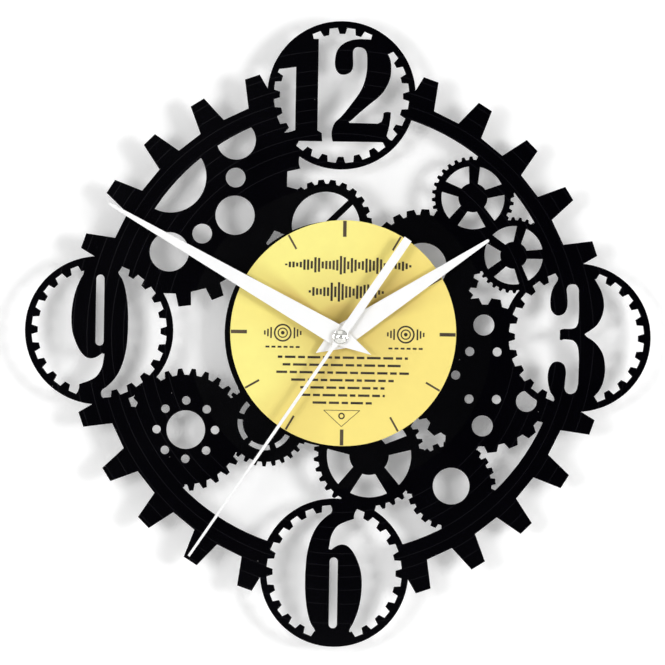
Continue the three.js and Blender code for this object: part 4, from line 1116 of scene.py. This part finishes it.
def arrowOutline(look, start):
    low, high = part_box("setting_knob")
    x = (low.x + high.x) / 2 / mm
    z = (low.z + high.z) / 2 / mm
    radius = look["arrowRadius"]
    line = look["line"] * look["arrowLine"]
    sweep = look["arrowSweep"]
    steps = look["arrowSteps"]
    head = look["arrowHead"]
    end = start + sweep
    spots = [(radius + line, start + sweep * k / steps) for k in range(steps + 1)]
    spots += [(radius + head, end), (radius, end + look["arrowTip"]), (radius - head, end)]
    spots += [(radius - line, end - sweep * k / steps) for k in range(steps + 1)]
    return [(x + r * math.cos(math.radians(a)), z + r * math.sin(math.radians(a))) for r, a in spots]


def caseMarks(look):
    x, z = look["minus"]
    marks = [plusOutline(*look["plus"], look["arm"], look["line"]),
             rectangle(x - look["arm"], z - look["line"], x + look["arm"], z + look["line"])]
    return marks + [arrowOutline(look, start) for start in look["arrowFrom"]]


marks = caseMarks(engraving)
past = engraving["past"]
engraver = addObject("engraver", printMesh("engraver", marks, past * mm, (past + engraving["depth"]) * mm))
paintTop = engraving["depth"] - engraving["paint"]
putPiece("case_marks", printMesh("case_marks", marks, -paintTop * mm, engraving["paint"] * mm),
         "white_enamel", "clock")

roundedShapes = [  # the width of the rounding is in metres
    {"node": "case_back", "body": "clock", "slot": "case_plastic", "width": 0.00035},
    {"node": "case_front", "body": "clock", "slot": "case_plastic", "width": 0.00035},
    {"node": "hanger_plate", "body": "clock", "slot": "plated_steel", "width": 0.00018},
    {"node": "setting_knob", "body": "setting", "slot": "wheel_plastic", "width": 0.00015},
    {"node": "case_screw_left", "body": "clock", "slot": "plated_steel", "width": 0.0001},
    {"node": "case_screw_right", "body": "clock", "slot": "plated_steel", "width": 0.0001},
]
for shape in roundedShapes:
    node = shape["node"]
    piece = putPiece(node + "_soft", softCopy(node + "_soft", node), shape["slot"], shape["body"], node)
    soften(piece, shape["width"], engraver if node == "case_back" else None)
bpy.data.objects.remove(engraver)

cellShape = {
    "radius": 7.25,
    "left": -24.45,
    "right": 24.55,
    "button": 2.7,
    "tip": 26.05,
    "depth": 8.15,
    "z": -18.93,
    "sides": 72,
    "foot": ((0, 0.12), (3.6, 0.12), (4.0, 0.0)),  # radius, up from the foot
    "footRound": ((1.0, 0.0), (0.55, 0.12), (0.25, 0.5), (0.1, 0.6), (0.02, 0.75), (0.0, 1.0)),
    "headRound": ((0.0, 1.2), (0.04, 0.7), (0.2, 0.3), (0.6, 0.1), (1.1, 0.0), (1.3, 0.06), (1.5, 0.25)),
    "buttonFoot": ((0.6, 0.25), (0.15, 0.1), (0.0, -0.15)),
    "buttonRound": ((0.0, 0.3), (0.1, 0.08), (0.35, 0.0)),
}


# each rounding is in from its radius and away from its end; the button's foot is out from the button
def cellRows(shape):
    head = shape["right"] - shape["left"]
    tip = shape["tip"] - shape["left"]
    radius = shape["radius"]
    button = shape["button"]
    rows = list(shape["foot"])
    rows += [(radius - inward, up) for inward, up in shape["footRound"]]
    rows += [(radius - inward, head - down) for inward, down in shape["headRound"]]
    rows += [(button + outward, head - down) for outward, down in shape["buttonFoot"]]
    rows += [(button - inward, tip - down) for inward, down in shape["buttonRound"]]
    return rows + [(0, tip)]


alongX = Matrix(((0, -1, 0, cellShape["left"] * mm), (1, 0, 0, -cellShape["depth"] * mm),
                 (0, 0, 1, cellShape["z"] * mm), (0, 0, 0, 1)))
cellMesh = turnedMesh("battery_cell_wrapped", cellRows(cellShape), cellShape["sides"],
                      closed=False, move=alongX)
putPiece("battery_cell_wrapped", cellMesh, "cell_wrap", "clock", "battery_cell")

# the pieces inside the case keep their own shapes
inside = ["gear_plate", "seconds_wheel", "third_wheel", "minute_tube", "motion_wheel", "hour_wheel",
          "step_wheel", "motor_rotor", "stator_plate", "coil_core", "coil_bobbin", "coil_winding",
          "circuit_board", "clock_chip", "quartz_crystal", "contact_positive", "contact_negative"]
slotOf = {part["node"]: part["material_slot"] for part in frame["record"]["subparts"]}
for node in inside:
    nodes[node].data.materials.clear()
    nodes[node].data.materials.append(finishes[slotOf[node]])
print("movement dressed")


# stage, lights and camera, in metres

stageLook = {
    "wall": (0.96, 0.96, 0.96, 1),
    "wallRough": 0.9,
    "wallY": 0.0006,
    "glow": 0.15,
    "floor": (0.75, 0.75, 0.75, 1),
    "floorRough": 0.8,
    "floorZ": -0.5,
    "wide": 3.0,
    "flag": (0.01, 0.01, 0.01, 1),
    "flagY": -3.4,
    "flagHalf": 0.85,
    "flagLow": -0.35,
    "world": (0.318, 0.318, 0.318, 1),
}


def wallFinish(look):
    material, tree, shader = newFinish("wall_white")
    shader.inputs["Base Color"].default_value = look["wall"]
    shader.inputs["Roughness"].default_value = look["wallRough"]
    shader.inputs["Specular IOR Level"].default_value = 0.0
    shader.inputs["Emission Color"].default_value = (1, 1, 1, 1)
    path = addNode(tree, "ShaderNodeLightPath").outputs
    mirrored = maths(tree, "MAXIMUM", path["Is Glossy Ray"], path["Is Transmission Ray"])
    seen = maths(tree, "MAXIMUM", path["Is Camera Ray"], mirrored)
    feed(tree, shader.inputs["Emission Strength"], maths(tree, "MULTIPLY", seen, look["glow"]))
    behind = addNode(tree, "ShaderNodeNewGeometry").outputs["Backfacing"]
    mixed = addNode(tree, "ShaderNodeMixShader")  # clear from behind, so the back can be seen
    feed(tree, mixed.inputs[0], behind)
    feed(tree, mixed.inputs[1], shader.outputs[0])
    feed(tree, mixed.inputs[2], addNode(tree, "ShaderNodeBsdfTransparent").outputs[0])
    feed(tree, tree.nodes["Material Output"].inputs["Surface"], mixed.outputs[0])
    return material


def floorFinish(look):
    material, tree, shader = newFinish("floor_pale")
    shader.inputs["Base Color"].default_value = look["floor"]
    shader.inputs["Roughness"].default_value = look["floorRough"]
    return material


def flagFinish(look):
    material, tree, shader = newFinish("flag_black")
    shader.inputs["Base Color"].default_value = look["flag"]
    shader.inputs["Roughness"].default_value = 1.0
    shader.inputs["Specular IOR Level"].default_value = 0.0
    return material


def sheetOf(name, corners, material):
    mesh = bpy.data.meshes.new(name)
    mesh.from_pydata(corners, [], [tuple(range(len(corners)))])
    mesh.materials.append(material)
    return addObject(name, mesh)


wide = stageLook["wide"]
wallY = stageLook["wallY"]
floorZ = stageLook["floorZ"]
wallCorners = [(-wide, wallY, floorZ), (wide, wallY, floorZ), (wide, wallY, wide), (-wide, wallY, wide)]
wall = sheetOf("wall", wallCorners, wallFinish(stageLook))
wall.visible_shadow = False
floorCorners = [(-wide, -wide, floorZ), (wide, -wide, floorZ),
                (wide, wide, floorZ), (-wide, wide, floorZ)]
floor = sheetOf("floor", floorCorners, floorFinish(stageLook))

# a black studio cloth behind the camera keeps the gloss of the vinyl dark
flagY = stageLook["flagY"]
low = stageLook["flagLow"]
half = stageLook["flagHalf"]
flagCorners = [(-half, flagY, low), (-half, flagY, half), (half, flagY, half), (half, flagY, low)]
flag = sheetOf("dark_flag", flagCorners, flagFinish(stageLook))
flag.visible_camera = False

lamps = [
    {"name": "key", "at": (0.92, -1.5, 0.05), "size": 0.4, "watts": 10.5},
    {"name": "fill", "at": (-0.68, -1.5, 0.05), "size": 0.4, "watts": 6.6},
    {"name": "top", "at": (-0.1, -1.1, 1.2), "size": 1.2, "watts": 3.0},
    {"name": "sheen", "at": (-0.5, -2.6, 0.5), "size": 0.3, "watts": 3.2},
    {"name": "behind", "at": (0.7, 1.3, 0.8), "size": 0.9, "watts": 12.0},
    {"name": "behindFill", "at": (-0.9, 1.2, 0.3), "size": 0.9, "watts": 7.0},
]
for lamp in lamps:
    light = bpy.data.lights.new(lamp["name"], "AREA")
    light.size = lamp["size"]
    light.energy = lamp["watts"]
    stand = addObject(lamp["name"], light)
    stand.location = lamp["at"]
    stand.rotation_euler = (-Vector(lamp["at"])).to_track_quat("-Z", "Y").to_euler()

world = bpy.data.worlds.new("studio")
world.use_nodes = True
world.node_tree.nodes["Background"].inputs["Color"].default_value = stageLook["world"]
bpy.context.scene.world = world

cameraSet = {
    "x": -0.003753,
    "z": 0.002079,
    "away": 3.0,  # from the front of the record
    "front": 0.02086,
    "tilt": 0.9,
    "across": 0.31894,
    "film": 36.0,
}
cameraData = bpy.data.cameras.new("view")
cameraData.sensor_width = cameraSet["film"]
cameraData.lens = cameraSet["film"] * cameraSet["away"] / cameraSet["across"]
camera = addObject("view", cameraData)
camera.location = (cameraSet["x"], -(cameraSet["front"] + cameraSet["away"]), cameraSet["z"])
tilt = Matrix.Rotation(math.radians(cameraSet["tilt"]), 3, "Z")
camera.rotation_euler = (Euler((math.pi / 2, 0, 0)).to_matrix() @ tilt).to_euler()
bpy.context.scene.camera = camera
bpy.context.scene.view_settings.view_transform = "Standard"
print("stage, lights and camera set")
